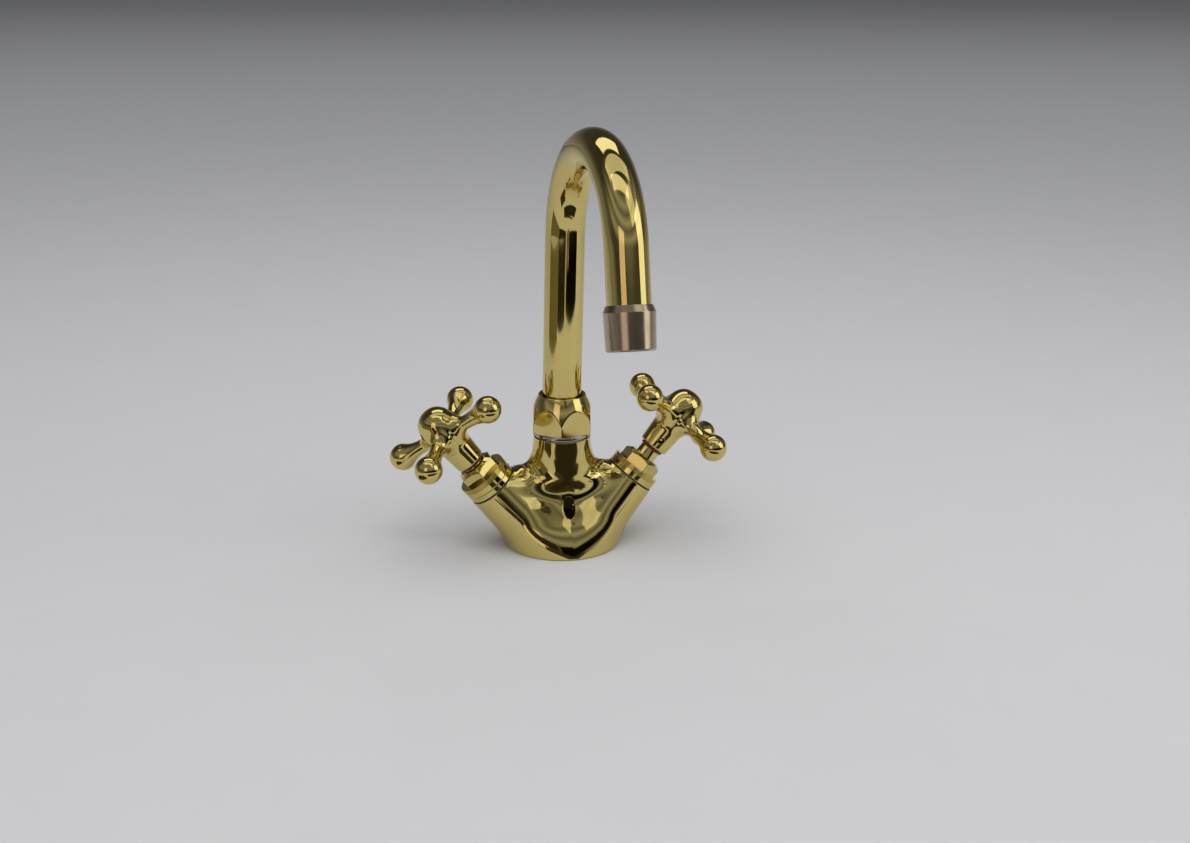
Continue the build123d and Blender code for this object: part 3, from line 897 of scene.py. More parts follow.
def arm_sheet(side):
    """One skewed cone from inside the foot to the port, swelled out to the webs, then the port's face
    and its bores."""
    sizes = bpy.context.scene.mixer_sizes
    place = valve_place(side)
    port_centre = np.array(place.translation)
    angles = round_angles(PORT_COLUMNS)
    share = np.linspace(PORT_START, 1, PORT_ROWS)[:, None]
    foot = np.stack(
        [np.cos(angles) * sizes.foot_radius, np.sin(angles) * sizes.foot_radius, 0 * angles], axis=-1
    )
    across = np.array(place.to_3x3() @ Vector((0, 1, 0)))
    across = across if across[0] > 0 else -across
    round_port = np.cos(angles)[:, None] * across + np.sin(angles)[:, None] * np.array([0, 1, 0])
    port = port_centre + round_port * PORT_RADIUS
    plain = (1 - share[..., None]) * foot + share[..., None] * port
    centres = share * port_centre
    direction = plain - centres[:, None]
    direction /= np.linalg.norm(direction, axis=-1, keepdims=True)
    skin = swelled(plain, direction, body_field, BODY_REACH)
    fade = smooth_step(share[:, 0], PORT_FADE_START, PORT_FADE_END)[:, None, None]
    skin = skin * (1 - fade) + plain * fade
    mouth = rounded(
        [
            (PORT_RADIUS, -0.5 * mm),
            (PORT_RADIUS, 0, PORT_EDGE),
            (PORT_BORE, 0, 0.2 * mm),
            (PORT_BORE, -PORT_BORE_DEPTH),
            (CHAMBER_RADIUS, -PORT_BORE_DEPTH),
            (CHAMBER_RADIUS, -SEAT_DEPTH),
            (0, -SEAT_DEPTH),
        ]
    )[2:]
    outward = np.array(place.to_3x3() @ Vector((0, 0, 1)))
    radius, height = mouth[:, 0][:, None, None], mouth[:, 1][:, None, None]
    bore = port_centre + radius * round_port + height * outward
    closing = np.broadcast_to(np.array([0, 0, PORT_CLOSING]), (1, len(angles), 3))
    keep = share[:, 0] < 1 - PORT_EDGE / PORT_HEIGHT
    return holed(np.concatenate([closing, skin[keep], bore]))


# Spout


def leaned(vectors, angles):
    """Vectors turned about Y by one small angle a row: (x cos + z sin, y, z cos - x sin)."""
    x, y, z = vectors[:, 0], vectors[:, 1], vectors[:, 2]
    cosine, sine = np.cos(angles), np.sin(angles)
    return np.stack([x * cosine + z * sine, y, z * cosine - x * sine], axis=1)


def tube_line(rows):
    """Centre line and its directions: up the leg, round the bend, and out along the run. Everything
    above the lean's height turns sideways about the leg's own line, eased over a short stretch."""
    bend = bpy.context.scene.mixer_sizes.bend_radius
    leg = LEG_TOP - TUBE_FOOT
    arc = bend * BEND_SWEEP
    total = leg + arc + OUTLET_RUN
    along = np.linspace(0, total, rows)
    turned = np.clip((along - leg) / bend, 0, BEND_SWEEP)
    rise = np.minimum(along, leg)
    run = np.maximum(along - leg - arc, 0)
    direction = np.stack([0 * along, -np.sin(turned), np.cos(turned)], axis=1)
    points = np.stack(
        [
            0 * along,
            -bend * (1 - np.cos(turned)) - run * math.sin(BEND_SWEEP),
            TUBE_FOOT + rise + bend * np.sin(turned) + run * math.cos(BEND_SWEEP),
        ],
        axis=1,
    )
    pivot = np.array([0, 0, LEAN_HEIGHT])
    angles = LEG_LEAN * smooth_step(
        TUBE_FOOT + along, LEAN_HEIGHT - LEAN_EASE, LEAN_HEIGHT + LEAN_EASE
    )
    return leaned(points - pivot, angles) + pivot, leaned(direction, angles)


def tube_sheet():
    """A circle carried along the centre line; the wall turns in at both ends and closes inside."""
    radius = bpy.context.scene.mixer_sizes.tube_radius
    points, direction = tube_line(TUBE_ROWS)
    angles = round_angles(TUBE_COLUMNS)
    flat = np.cross(np.array([1.0, 0, 0]), direction)
    flat /= np.linalg.norm(flat, axis=1, keepdims=True)
    sideways = np.cross(direction, flat)
    ring = (
        np.cos(angles)[:, None] * sideways[:, None] + np.sin(angles)[:, None] * flat[:, None]
    )
    outer = points[:, None] + radius * ring
    inner = points[:, None] + (radius - TUBE_WALL) * ring
    rows = TUBE_END_ROWS
    ends = [np.broadcast_to(points[end], (1, len(angles), 3)) for end in (rows, -rows)]
    return np.concatenate(
        [ends[0], inner[rows:0:-1], inner[:1], outer, inner[-1:-rows:-1], ends[1]]
    )


# Handles


def arm_line(along):
    """Radius of a handle's arm at a distance along it: hollow root, neck, hollow arc, ball."""
    sizes = bpy.context.scene.mixer_sizes
    reach, ball = sizes.handle_reach, sizes.ball_radius
    rise = math.sqrt((ball + ARM_FLARE) ** 2 - (ARM_NECK + ARM_FLARE) ** 2)
    start = reach - rise
    touch = reach - ball * rise / (ball + ARM_FLARE)
    hollow = ARM_NECK + ARM_FLARE - np.sqrt(
        np.maximum(ARM_FLARE**2 - np.clip(along - start, 0, ARM_FLARE) ** 2, 0)
    )
    root_run = np.clip(ARM_NECK_START - np.maximum(along, ARM_ROOT), 0, ARM_ROOT_FLARE)
    root = ARM_ROOT_FLARE - np.sqrt(ARM_ROOT_FLARE**2 - root_run**2)
    sphere = np.sqrt(np.maximum(ball**2 - (along - reach) ** 2, 0))
    return np.where(along < touch, hollow + root, sphere)


def hub_line(height):
    """Radius of the hub at a height: slightly conical sleeve, a cubic that eases from its slope to
    the upright shoulder, squared dome."""
    sizes = bpy.context.scene.mixer_sizes
    sleeve = np.interp(height, [HANDLE_FOOT, SLEEVE_TOP], [sizes.sleeve_radius, SLEEVE_TOP_RADIUS])
    run = SHOULDER_HEIGHT - SLEEVE_TOP
    rise = np.clip((height - SLEEVE_TOP) / run, 0, 1)
    slope = (SLEEVE_TOP_RADIUS - sizes.sleeve_radius) / (SLEEVE_TOP - HANDLE_FOOT)
    eased = rise * rise * (3 - 2 * rise)
    shoulder = (
        SLEEVE_TOP_RADIUS
        + (sizes.hub_radius - SLEEVE_TOP_RADIUS) * eased
        + slope * run * rise * (1 - rise) ** 2
    )
    lower = np.where(height < SLEEVE_TOP, sleeve, shoulder)
    share = np.clip((height - SHOULDER_HEIGHT) / DOME_HEIGHT, 0, 1)
    dome = sizes.hub_radius * (1 - share**DOME_POWER) ** (1 / DOME_POWER)
    return np.where(height < SHOULDER_HEIGHT, lower, dome)


def hub_field(points):
    """Distance outside the hub: beside the sleeve by radius, at the dome by its squared ellipse."""
    sizes = bpy.context.scene.mixer_sizes
    radius = np.hypot(points[..., 0], points[..., 1])
    height = points[..., 2]
    beside = radius - hub_line(np.minimum(height, SHOULDER_HEIGHT))
    up = np.maximum(height - SHOULDER_HEIGHT, 0) / DOME_HEIGHT
    dome = ((radius / sizes.hub_radius) ** DOME_POWER + up**DOME_POWER) ** (1 / DOME_POWER)
    return np.where(height < SHOULDER_HEIGHT, beside, (dome - 1) * sizes.hub_radius)


def cross_field(points):
    """Distance outside the four arms."""
    fields = []
    for number in range(ARMS // 2):
        angle = math.pi * number / 2
        along = np.abs(points[..., 0] * math.cos(angle) + points[..., 1] * math.sin(angle))
        across = -points[..., 0] * math.sin(angle) + points[..., 1] * math.cos(angle)
        fields.append(np.hypot(across, points[..., 2]) - arm_line(along))
    return np.minimum(*fields)


def handle_field(points):
    """Hub and arms joined with soft webs."""
    return smooth_low(hub_field(points), cross_field(points), ARM_BLEND)


def hub_sheet():
    """The hub's profile turned round and swelled out to the webs, with its socket below."""
    sizes = bpy.context.scene.mixer_sizes
    heights = np.concatenate(
        [
            np.arange(HANDLE_FOOT + HUB_SKIN_START, SLEEVE_TOP, HUB_STEP),
            np.linspace(SLEEVE_TOP, SHOULDER_HEIGHT, HUB_SHOULDER_ROWS),
        ]
    )
    side = np.stack([hub_line(heights), heights], axis=1)
    lean = np.linspace(0, math.pi / 2, HUB_DOME_ROWS)[1:]
    power = 2 / DOME_POWER
    dome = np.stack(
        [
            sizes.hub_radius * np.cos(lean) ** power,
            SHOULDER_HEIGHT + DOME_HEIGHT * np.sin(lean) ** power,
        ],
        axis=1,
    )
    dome[-1, 0] = 0
    foot = rounded(
        [
            (0, SOCKET_FLOOR - HUB_HEIGHT),
            (STEM_RADIUS + SOCKET_GAP, SOCKET_FLOOR - HUB_HEIGHT),
            (STEM_RADIUS + SOCKET_GAP, HANDLE_FOOT, 0.2 * mm),
            (sizes.sleeve_radius, HANDLE_FOOT, 0.45 * mm),
            (sizes.sleeve_radius, HANDLE_FOOT + 1 * mm),
        ]
    )[:-2]
    profile = np.vstack([foot, side, dome])
    outer = np.zeros(len(profile), bool)
    outer[len(foot) : -1] = True
    sheet = lathe(profile, HUB_COLUMNS)
    # Rows swell sideways, and over the dome more and more upwards
    upward = np.concatenate([np.zeros(len(foot) + len(side)), np.sin(lean)])[:, None]
    direction = np.concatenate([sheet[..., :2], 0 * sheet[..., 2:]], axis=-1)
    direction /= np.maximum(np.linalg.norm(direction, axis=-1, keepdims=True), TINY)
    direction[..., :2] *= np.sqrt(1 - upward**2)[..., None]
    direction[..., 2] += upward
    sheet[outer] = swelled(sheet[outer], direction[outer], handle_field, ARM_REACH_OUT)
    aim = np.array([math.cos(GRUB_ANGLE), math.sin(GRUB_ANGLE), 0])
    centre = aim * GRUB_WALL + np.array([0, 0, GRUB_HEIGHT])
    return drilled(sheet, centre, aim, GRUB_RADIUS, GRUB_SINK)


def handle_arm_sheet(number):
    """One arm as a lathe about its own line, swelled out to the webs at its root."""
    sizes = bpy.context.scene.mixer_sizes
    start = ARM_HUB_SHARE * sizes.hub_radius + ARM_INSIDE
    shank = np.linspace(start, sizes.handle_reach, ARM_SHANK_ROWS)
    lean = np.linspace(0, math.pi / 2, ARM_BALL_ROWS)
    ball = sizes.handle_reach + sizes.ball_radius * np.sin(lean)[1:]
    along = np.concatenate([shank, ball])
    angles = round_angles(ARM_COLUMNS)
    radius = arm_line(along)[:, None]
    radius[-1] = 0
    x = along[:, None] + 0 * angles
    points = np.stack([x, radius * np.cos(angles), radius * np.sin(angles)], axis=-1)
    direction = np.stack([0 * x, np.cos(angles) + 0 * x, np.sin(angles) + 0 * x], axis=-1)
    root = slice(0, ARM_WEB_ROWS)
    points[root] = swelled(points[root], direction[root], handle_field, ARM_REACH_OUT)
    closing = np.broadcast_to(np.array([start, 0, 0]), (1, len(angles), 3))
    sheet = np.concatenate([closing, points])
    turn = Matrix.Rotation(number * 2 * math.pi / ARMS, 4, "Z")
    return placed(sheet, turn)


# Sizes and colours that a user would change


class MixerSizes(bpy.types.PropertyGroup):
    """The main sizes of the mixer."""

    foot_radius: FloatProperty(
        name="Foot", description="Radius of the round foot", default=25 * mm, unit="LENGTH"
    )
    neck_radius: FloatProperty(
        name="Neck", description="Radius of the upright neck", default=13.2 * mm, unit="LENGTH"
    )
    port_tilt: FloatProperty(
        name="Valve tilt",
        description="Lean of each valve from upright",
        default=math.radians(39.5),
        subtype="ANGLE",
    )
    nut_width: FloatProperty(
        name="Spout nut", description="Width across the flats", default=26.5 * mm, unit="LENGTH"
    )
    tube_radius: FloatProperty(
        name="Tube", description="Radius of the spout's tube", default=9 * mm, unit="LENGTH"
    )
    bend_radius: FloatProperty(
        name="Bend", description="Radius of the spout's bend", default=43.8 * mm, unit="LENGTH"
    )
    housing_radius: FloatProperty(
        name="Aerator", description="Radius of the aerator's shell", default=10.6 * mm, unit="LENGTH"
    )
    sleeve_radius: FloatProperty(
        name="Sleeve", description="Radius of a handle's foot", default=7.0 * mm, unit="LENGTH"
    )
    hub_radius: FloatProperty(
        name="Hub", description="Largest radius of a handle's hub", default=9.2 * mm, unit="LENGTH"
    )
    handle_reach: FloatProperty(
        name="Arm", description="From a handle's axis to a ball's centre", default=26.9 * mm,
        unit="LENGTH",
    )
    ball_radius: FloatProperty(
        name="Ball", description="Radius of the ball ends", default=6.3 * mm, unit="LENGTH"
    )


class MixerColours(bpy.types.PropertyGroup):
    """The main colours of the mixer, linear."""

    brass: FloatVectorProperty(
        name="Brass", description="Polished brass", subtype="COLOR", default=linear("dfcc82")[:3]
    )
    bronze: FloatVectorProperty(
        name="Bronze", description="Aerator shell", subtype="COLOR", default=linear("c6b79c")[:3]
    )
    nickel: FloatVectorProperty(
        name="Nickel", description="Ring under the nut", subtype="COLOR",
        default=linear("b4b4b4")[:3],
    )
    fibre: FloatVectorProperty(
        name="Fibre", description="Rings under the handles", subtype="COLOR",
        default=linear("7a2f1c")[:3],
    )
    floor: FloatVectorProperty(
        name="Floor", description="Plain pale floor", subtype="COLOR", default=linear("cdcdd0")[:3]
    )


# One operator for each piece or group of like pieces


class MIXER_OT_body(bpy.types.Operator):
    """Build the polished casting over the body"""

    bl_idname = "mixer.body"
    bl_label = "Body casting"

    def execute(self, context):
        sheets = [core_sheet(), arm_sheet(-1), arm_sheet(1)]
        brass = finish_named("cast_brass")
        made = piece("body_casting", sheets, brass, "fixed", ["faucet_body"])
        # Faces in the upright hole take the bore finish, whose dark brown colour paints the shade
        # inside the hole
        made.data.materials.append(finish_named("bore"))
        faces = made.data.polygons
        centres = np.empty(3 * len(faces))
        faces.foreach_get("center", centres)
        faces.foreach_set("material_index", in_rod_hole(centres.reshape(-1, 3)).astype(np.int32))
        return {"FINISHED"}


class MIXER_OT_neck(bpy.types.Operator):
    """Build the bright ring and the domed nut on the neck"""

    bl_idname = "mixer.neck"
    bl_label = "Ring and spout nut"

    def execute(self, context):
        sizes = context.scene.mixer_sizes
        top = NECK_HEIGHT + RING_HEIGHT
        ring = rounded(
            [
                (0, NECK_HEIGHT),
                (RING_RADIUS, NECK_HEIGHT, 0.9 * mm),
                (RING_RADIUS, top, 0.9 * mm),
                (0, top),
            ],
            10,
        )
        nickel = finish_named("nickel")
        sheet = lathe(ring, RING_COLUMNS)
        piece("neck_ring_plated", [sheet], nickel, "fixed", ["neck_ring"])
        corner = sizes.nut_width / math.sqrt(3)
        nut_top = top + NUT_HEIGHT
        rim = NUT_MOUTH + NUT_MOUTH_WALL
        low = np.array([corner, top + NUT_CORNER_FLAT])
        high = np.array([rim, nut_top - NUT_RIM_DROP])
        share = np.linspace(0, 1, NUT_DOME_ROWS)[:, None]
        # The dome's side is a straight line that a parabola bulges outwards
        sag = 4 * share * (1 - share) * NUT_BULGE
        normal = np.array([high[1] - low[1], low[0] - high[0]]) / np.linalg.norm(high - low)
        dome = low + (high - low) * share + sag * normal
        start = rounded([(0, top), (corner, top, 0.5 * mm), (corner, top + NUT_SIDE_START)])[:-1]
        end = rounded(
            [
                (high[0], high[1]),
                (rim - NUT_RIM_STEP, nut_top, 0.6 * mm),
                (NUT_MOUTH, nut_top, 0.5 * mm),
                (NUT_MOUTH, nut_top - NUT_MOUTH_DEPTH),
                (0, nut_top - NUT_MOUTH_DEPTH),
            ]
        )[1:]
        profile = dense(np.vstack([start, dome, end]), NUT_STEP)
        sheet = hexed(profile, sizes.nut_width, NUT_TURN, NUT_COLUMNS, NUT_SOFTNESS)
        brass = finish_named("turned_brass")
        piece("spout_nut_domed", [sheet], brass, "fixed", ["spout_nut"])
        return {"FINISHED"}


class MIXER_OT_headworks(bpy.types.Operator):
    """Build the ridged collars with their hexagons, and the plain ring under the left one"""

    bl_idname = "mixer.headworks"
    bl_label = "Headworks"

    def execute(self, context):
        brass = finish_named("turned_brass")
        for name, side in SIDES.items():
            place = valve_place(side)
            lift = SPACER_HEIGHT if name == "left" else 0.0
            foot = SEAL_HEIGHT + lift
            top = foot + COLLAR_HEIGHT
            pitch = (COLLAR_HEIGHT - COLLAR_BAND) / RIDGES
            outline = [(0, foot), (COLLAR_RADIUS, foot, 0.3 * mm)]
            for number in range(RIDGES):
                height = foot + COLLAR_BAND + number * pitch
                outline += [
                    (COLLAR_RADIUS, height, RIDGE_EDGE),
                    (COLLAR_RADIUS - RIDGE_DEPTH, height + GROOVE_LOW, GROOVE_EDGE),
                    (COLLAR_RADIUS - RIDGE_DEPTH, height + GROOVE_HIGH, GROOVE_EDGE),
                    (COLLAR_RADIUS, height + GROOVE_TOP, RIDGE_EDGE),
                ]
            outline += [(COLLAR_RADIUS, top, 0.2 * mm), (HEX_TOP, top), (0, top)]
            collar = lathe(rounded(outline, 4), COLLAR_COLUMNS)
            corner = HEX_WIDTH / math.sqrt(3)
            hex_top = top + HEX_HEIGHT
            profile = rounded(
                [
                    (0, top - HEX_SINK),
                    (corner, top - HEX_SINK),
                    (corner, hex_top - HEX_CHAMFER, 0.6 * mm),
                    (HEX_TOP, hex_top, 0.3 * mm),
                    (STEM_RADIUS + GLAND_GAP, hex_top, 0.2 * mm),
                    (STEM_RADIUS + GLAND_GAP, hex_top - GLAND_DEPTH),
                    (0, hex_top - GLAND_DEPTH),
                ]
            )
            profile = dense(profile, HEX_STEP)
            hexagon = hexed(profile, HEX_WIDTH, 0, COLLAR_COLUMNS, HEX_SOFTNESS)
            sheets = [placed(collar, place), placed(hexagon, place)]
            piece(
                f"{name}_headwork_turned", sheets, brass, "fixed", [f"{name}_headwork"],
            )
        low, high = SEAL_HEIGHT, SEAL_HEIGHT + SPACER_HEIGHT
        spacer = rounded(
            [
                (0, low),
                (COLLAR_RADIUS, low, 0.25 * mm),
                (COLLAR_RADIUS, high - SPACER_GAP, 0.25 * mm),
                (0, high - SPACER_GAP),
            ]
        )
        sheet = placed(lathe(spacer, SPACER_COLUMNS), valve_place(SIDES["left"]))
        piece("left_spacer_turned", [sheet], brass, "fixed", ["left_spacer_ring"])
        return {"FINISHED"}


class MIXER_OT_spindles(bpy.types.Operator):
    """Build the spindles' stems and the fibre rings on them"""

    bl_idname = "mixer.spindles"
    bl_label = "Spindles and fibre rings"

    def execute(self, context):
        for name, side in SIDES.items():
            place = valve_place(side)
            stem = rounded(
                [
                    (0, SPINDLE_FOOT),
                    (SPINDLE_FOOT_RADIUS, SPINDLE_FOOT, 0.3 * mm),
                    (SPINDLE_FOOT_RADIUS, SPINDLE_SHOULDER, 0.3 * mm),
                    (STEM_RADIUS, SPINDLE_SHOULDER),
                    (STEM_RADIUS, STEM_TOP, 0.5 * mm),
                    (0, STEM_TOP),
                ]
            )
            sheet = placed(lathe(stem, STEM_COLUMNS), place)
            piece(
                f"{name}_spindle_turned", [sheet], finish_named("turned_brass"), f"{name}_turn",
                [f"{name}_spindle"],
            )
            pitch = HANDLE_RING_HEIGHT + HANDLE_RING_GAP
            foot = HUB_HEIGHT + HANDLE_FOOT - HANDLE_RINGS * pitch + HANDLE_SEAT[name]
            rings = []
            for number in range(HANDLE_RINGS):
                low = foot + number * pitch
                high = low + HANDLE_RING_HEIGHT
                outline = rounded(
                    [
                        (0, low),
                        (HANDLE_RING_RADIUS, low, 0.22 * mm),
                        (HANDLE_RING_RADIUS, high, 0.22 * mm),
                        (0, high),
                    ]
                )
                rings.append(placed(lathe(outline, STEM_COLUMNS), place))
            piece(
                f"{name}_fibre_rings", rings, finish_named("fibre"), f"{name}_turn",
                [f"{name}_handle_rings"],
            )
        return {"FINISHED"}


class MIXER_OT_handles(bpy.types.Operator):
    """Build the cross handles and their grub screws"""

    bl_idname = "mixer.handles"
    bl_label = "Cross handles"

    def execute(self, context):
        hub = hub_sheet()
        arms = [handle_arm_sheet(number) for number in range(ARMS)]
        for name, side in SIDES.items():
            centre = Matrix.Translation((0, 0, HUB_HEIGHT + HANDLE_SEAT[name]))
            place = valve_place(side, HANDLE_TURN[name]) @ centre
            sheets = [placed(sheet, place) for sheet in [hub, *arms]]
            piece(
                f"{name}_handle_cast", sheets, finish_named("cast_brass"), f"{name}_turn",
                [f"{name}_handle"],
            )
        return {"FINISHED"}


class MIXER_OT_spout(bpy.types.Operator):
    """Build the swan-neck tube"""

    bl_idname = "mixer.spout"
    bl_label = "Spout tube"

    def execute(self, context):
        sheet = placed(tube_sheet(), spout_place())
        brass = finish_named("drawn_brass")
        piece("spout_tube_drawn", [sheet], brass, "spout", ["spout_tube"])
        return {"FINISHED"}


class MIXER_OT_aerator(bpy.types.Operator):
    """Build the aerator's turned shell"""

    bl_idname = "mixer.aerator"
    bl_label = "Aerator shell"

    def execute(self, context):
        width = context.scene.mixer_sizes.housing_radius
        top = -HOUSING_OVERLAP
        end = top + HOUSING_LENGTH
        shell = rounded(
            [
                (0, top + HOUSING_CLOSING_LOW),
                (HOUSING_BORE, top + HOUSING_CLOSING_LOW),
                (HOUSING_BORE, top),
                (HOUSING_BORE + HOUSING_RIM, top, 0.1 * mm),
                (width, top + HOUSING_SHOULDER, 0.5 * mm),
                (HOUSING_END, end, 0.9 * mm),
                (HOUSING_LIP, end, 0.3 * mm),
                (HOUSING_LIP, end - HOUSING_LIP_HEIGHT),
                (HOUSING_BORE, end - HOUSING_LIP_HEIGHT),
                (HOUSING_BORE, top + HOUSING_CLOSING_HIGH),
                (0, top + HOUSING_CLOSING_HIGH),
            ],
            8,
        )
        sheet = placed(lathe(shell, HOUSING_COLUMNS), outlet_place())
        bronze = finish_named("bronze")
        piece("aerator_shell", [sheet], bronze, "spout", ["aerator_housing"])
        return {"FINISHED"}


class MIXER_OT_inner(bpy.types.Operator):
    """Give every piece that keeps its own solid its finish"""

    bl_idname = "mixer.inner"
    bl_label = "Inner pieces"

    def execute(self, context):
        finish_of = {
            "black_rubber": "rubber",
            "white_plastic": "acetal",
            "steel": "steel",
            "polished_brass": "turned_brass",
            "satin_bronze": "bronze",
            "bright_metal": "nickel",
            "red_fibre": "fibre",
        }
        slots = {row["node"]: row["material_slot"] for row in frame["record"]["subparts"]}
        for name, made in frame["nodes"].items():
            key = "blackened" if name.endswith("grub_screw") else finish_of[slots[name]]
            made.data.materials.clear()
            made.data.materials.append(finish_named(key))
        return {"FINISHED"}


class MIXER_OT_stage(bpy.types.Operator):
    """Lay the pale floor, set the soft lamps and aim the camera"""

    bl_idname = "mixer.stage"
    bl_label = "Studio"

    def execute(self, context):
        scene = context.scene
        material, tree = blank_material("matt_studio_paper")
        place = node(tree, "ShaderNodeTexCoord")
        fibres = node(
            tree,
            "ShaderNodeTexNoise",
            inputs={"Scale": 1 / PAPER_PATCH, "Detail": 3.0},
            links={"Vector": place.outputs["Object"]},
        )
        colour = chosen("floor")
        tint = node(
            tree,
            "ShaderNodeMix",
            {"data_type": "RGBA"},
            {"A": colour, "B": tuple(PAPER_SHADE * value for value in colour)},
            {"Factor": fibres.outputs["Fac"]},
        )
        shader = node(
            tree,
            "ShaderNodeBsdfPrincipled",
            inputs={"Roughness": 0.8, "IOR": 1.45},
            links={"Base Color": tint.outputs["Result"]},
        )
        node(tree, "ShaderNodeOutputMaterial", links={"Surface": shader.outputs["BSDF"]})
        mesh = bpy.data.meshes.new("floor")
        corners = np.array([[-1, -1, 0], [1, -1, 0], [1, 1, 0], [-1, 1, 0]]) * FLOOR_REACH
        mesh.from_pydata(corners, [], [(0, 1, 2, 3)])
        mesh.materials.append(material)
        floor = bpy.data.objects.new("floor", mesh)
        scene.collection.objects.link(floor)
        self.lamps(scene)
        self.cards(scene)
        self.world(scene)
        self.camera(scene)
        scene.view_settings.view_transform = "Standard"
        return {"FINISHED"}

    def lamps(self, scene):
        """Soft boxes: azimuth and height above the horizon as seen from the mixer, distance, width,
        height, brightness of the box's face and colour. The two last ones only light; metal doesn't
        show them."""
        boxes = {
            "warm_strip": (-126, 12, 0.75, 0.32, 0.60, 0.75, (1.0, 0.80, 0.72)),
            "right_window": (-26, 22, 0.90, 0.50, 0.60, 1.2, (1.0, 0.99, 0.95)),
            "side_box": (-48, 50, 1.00, 0.50, 0.50, 0.55, (1.0, 0.98, 0.93)),
            "top_box": (-104, 74, 1.00, 1.00, 0.26, 0.9, (1.0, 0.99, 0.96)),
            "over_box": (90, 85, 1.00, 1.40, 0.34, 0.6, (1.0, 0.99, 0.96)),
            "back_box": (88, 60, 1.00, 0.80, 0.32, 1.3, (1.0, 0.98, 0.95)),
            "key_box": (-110, 65, 1.00, 0.80, 0.80, 1.0, (1.0, 0.99, 0.97)),
            "ceiling": (-90, 80, 3.00, 7.00, 7.00, 0.7, (0.98, 0.99, 1.0)),
        }
        for name, (azimuth, rise, distance, width, height, face, colour) in boxes.items():
            light = bpy.data.lights.new(name, "AREA")
            light.shape = "RECTANGLE"
            light.size = width
            light.size_y = height
            light.energy = face * math.pi * width * height
            light.color = colour
            lamp = bpy.data.objects.new(name, light)
            lamp.location = STAGE_AIM + distance * heading(azimuth, rise)
            lamp.rotation_euler = heading(azimuth, rise).to_track_quat("Z", "Y").to_euler()
            lamp.visible_glossy = name not in ONLY_LIGHT
            scene.collection.objects.link(lamp)

    def cards(self, scene):
        """Dark boards round the mixer that only its reflections show: azimuth, width, the distance and
        height of the near or lower edge and of the far or upper one, and the colour."""
        spots = {
            "front_card": (-62, 0.36, 0.30, 0.033, 0.30, 0.100, "121210"),
            "middle_card": (-118, 0.22, 0.30, 0.033, 0.30, 0.095, "3c392c"),
            "left_card": (-165, 0.30, 0.30, 0.020, 0.30, 0.090, "8a8468"),
            "floor_mat": (-85, 0.22, 0.10, 0.001, 0.17, 0.001, "2e2a20"),
            "left_mat": (-160, 0.08, 0.10, 0.001, 0.17, 0.001, "40341c"),
            "low_card": (-92, 0.17, 0.17, 0.0, 0.17, 0.018, "5c5440"),
        }
        for name, (azimuth, width, near, low, far, high, shade) in spots.items():
            material, tree = blank_material(name + "_board")
            shader = node(tree, "ShaderNodeBsdfDiffuse", inputs={"Color": linear(shade)})
            node(tree, "ShaderNodeOutputMaterial", links={"Surface": shader.outputs["BSDF"]})
            outwards = heading(azimuth, 0)
            across = outwards.cross(Vector((0, 0, 1)))
            corners = [
                outwards * distance + across * width * share + Vector((0, 0, height))
                for share, distance, height in (
                    (-0.5, near, low), (0.5, near, low), (0.5, far, high), (-0.5, far, high)
                )
            ]
            mesh = bpy.data.meshes.new(name)
            mesh.from_pydata(corners, [], [(0, 1, 2, 3)])
            mesh.materials.append(material)
            card = bpy.data.objects.new(name, mesh)
            card.visible_camera = False
            card.visible_diffuse = False
            card.visible_shadow = False
            scene.collection.objects.link(card)

    def world(self, scene):
        """A dim room: a mid grey wall behind the mixer that darkens upwards, and in front of it a dark
        band over the horizon, a wall of pale and dark bands above that and a dark zenith."""
        world = bpy.data.worlds.new("dim_room")
        world.use_nodes = True
        tree = world.node_tree
        tree.nodes.clear()
        place = node(tree, "ShaderNodeTexCoord")
        split = node(
            tree, "ShaderNodeSeparateXYZ", links={"Vector": place.outputs["Generated"]}
        )
        behind = node(
            tree,
            "ShaderNodeMapRange",
            inputs={"From Min": -0.1, "From Max": 0.4},
            links={"Value": split.outputs["Y"]},
        )
        # Each wall's brightness at heights from 0, the horizon, to 1, straight up
        front_wall = (
            (0.0, 0.26), (0.12, 0.05), (0.26, 0.07), (0.38, 0.36), (0.50, 0.12), (0.60, 0.40),
            (0.70, 0.14), (0.80, 0.36), (0.90, 0.08), (1.0, 0.03),
        )
        back_wall = ((0.0, 0.24), (0.15, 0.14), (0.35, 0.05), (1.0, 0.03))
        walls = []
        for stops in (front_wall, back_wall):
            wall = node(tree, "ShaderNodeValToRGB", links={"Fac": split.outputs["Z"]})
            for height, _ in stops[1:-1]:
                wall.color_ramp.elements.new(height)
            for spot, (height, level) in enumerate(stops):
                wall.color_ramp.elements[spot].position = height
                wall.color_ramp.elements[spot].color = (*(part * level for part in ROOM_TINT), 1)
            walls.append(wall)
        room = node(
            tree,
            "ShaderNodeMix",
            {"data_type": "RGBA"},
            {},
            {
                "Factor": behind.outputs["Result"],
                "A": walls[0].outputs["Color"],
                "B": walls[1].outputs["Color"],
            },
        )
        light = node(tree, "ShaderNodeBackground", links={"Color": room.outputs["Result"]})
        node(tree, "ShaderNodeOutputWorld", links={"Surface": light.outputs["Background"]})
        scene.world = world

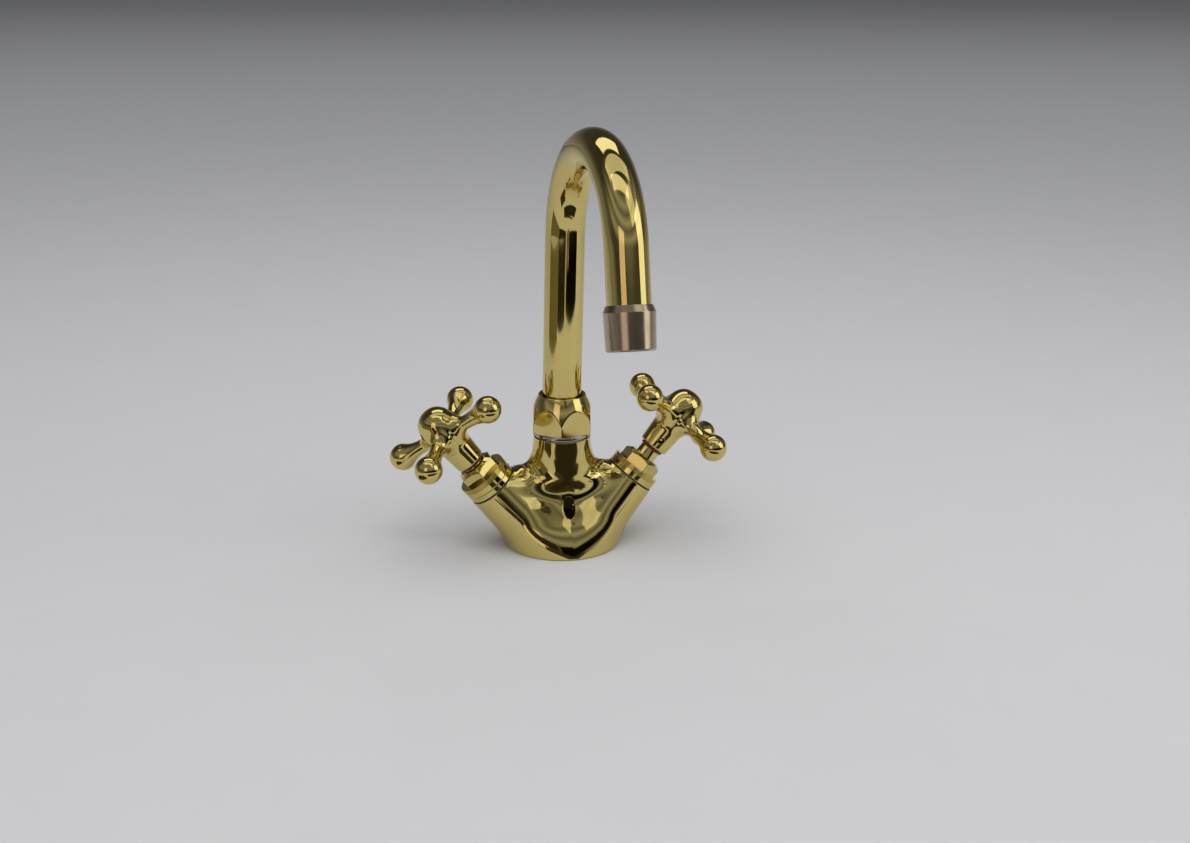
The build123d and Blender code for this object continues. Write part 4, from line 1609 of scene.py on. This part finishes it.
    def camera(self, scene):
        """The photograph's own angle: a 45 mm lens from the front, a little left and above."""
        data = bpy.data.cameras.new("camera")
        data.sensor_width = SENSOR
        data.lens = LENS
        camera = bpy.data.objects.new("camera", data)
        right = CAMERA_RIGHT.normalized()
        forward = right.cross(CAMERA_DOWN).normalized()
        down = forward.cross(right)
        turn = Matrix((right, -down, -forward)).transposed().to_4x4()
        turn.translation = CAMERA_SPOT
        camera.matrix_world = turn
        data.clip_start = CLIP_NEAR
        data.clip_end = CLIP_FAR
        scene.collection.objects.link(camera)
        scene.camera = camera


PIECE_OPERATORS = (
    MIXER_OT_inner,
    MIXER_OT_body,
    MIXER_OT_neck,
    MIXER_OT_headworks,
    MIXER_OT_spindles,
    MIXER_OT_handles,
    MIXER_OT_spout,
    MIXER_OT_aerator,
    MIXER_OT_stage,
)


class MIXER_PT_panel(bpy.types.Panel):
    """Lists the sizes, the colours and the pieces."""

    bl_idname = "MIXER_PT_panel"
    bl_label = "Basin mixer"
    bl_space_type = "VIEW_3D"
    bl_region_type = "UI"
    bl_category = "Mixer"

    def draw(self, context):
        for group in (context.scene.mixer_sizes, context.scene.mixer_colours):
            box = self.layout.box()
            for key in group.bl_rna.properties.keys():
                if key not in ("rna_type", "name"):
                    box.prop(group, key)
        for operator in PIECE_OPERATORS:
            self.layout.operator(operator.bl_idname)


CLASSES = (MixerSizes, MixerColours, *PIECE_OPERATORS, MIXER_PT_panel)


def register():
    for item in CLASSES:
        bpy.utils.register_class(item)
    bpy.types.Scene.mixer_sizes = PointerProperty(type=MixerSizes)
    bpy.types.Scene.mixer_colours = PointerProperty(type=MixerColours)


def unregister():
    del bpy.types.Scene.mixer_sizes
    del bpy.types.Scene.mixer_colours
    for item in reversed(CLASSES):
        bpy.utils.unregister_class(item)


def main():
    """Builds every piece and the studio."""
    register()
    for operator in PIECE_OPERATORS:
        group, name = operator.bl_idname.split(".")
        getattr(getattr(bpy.ops, group), name)()


if __name__ == "__main__":
    main()
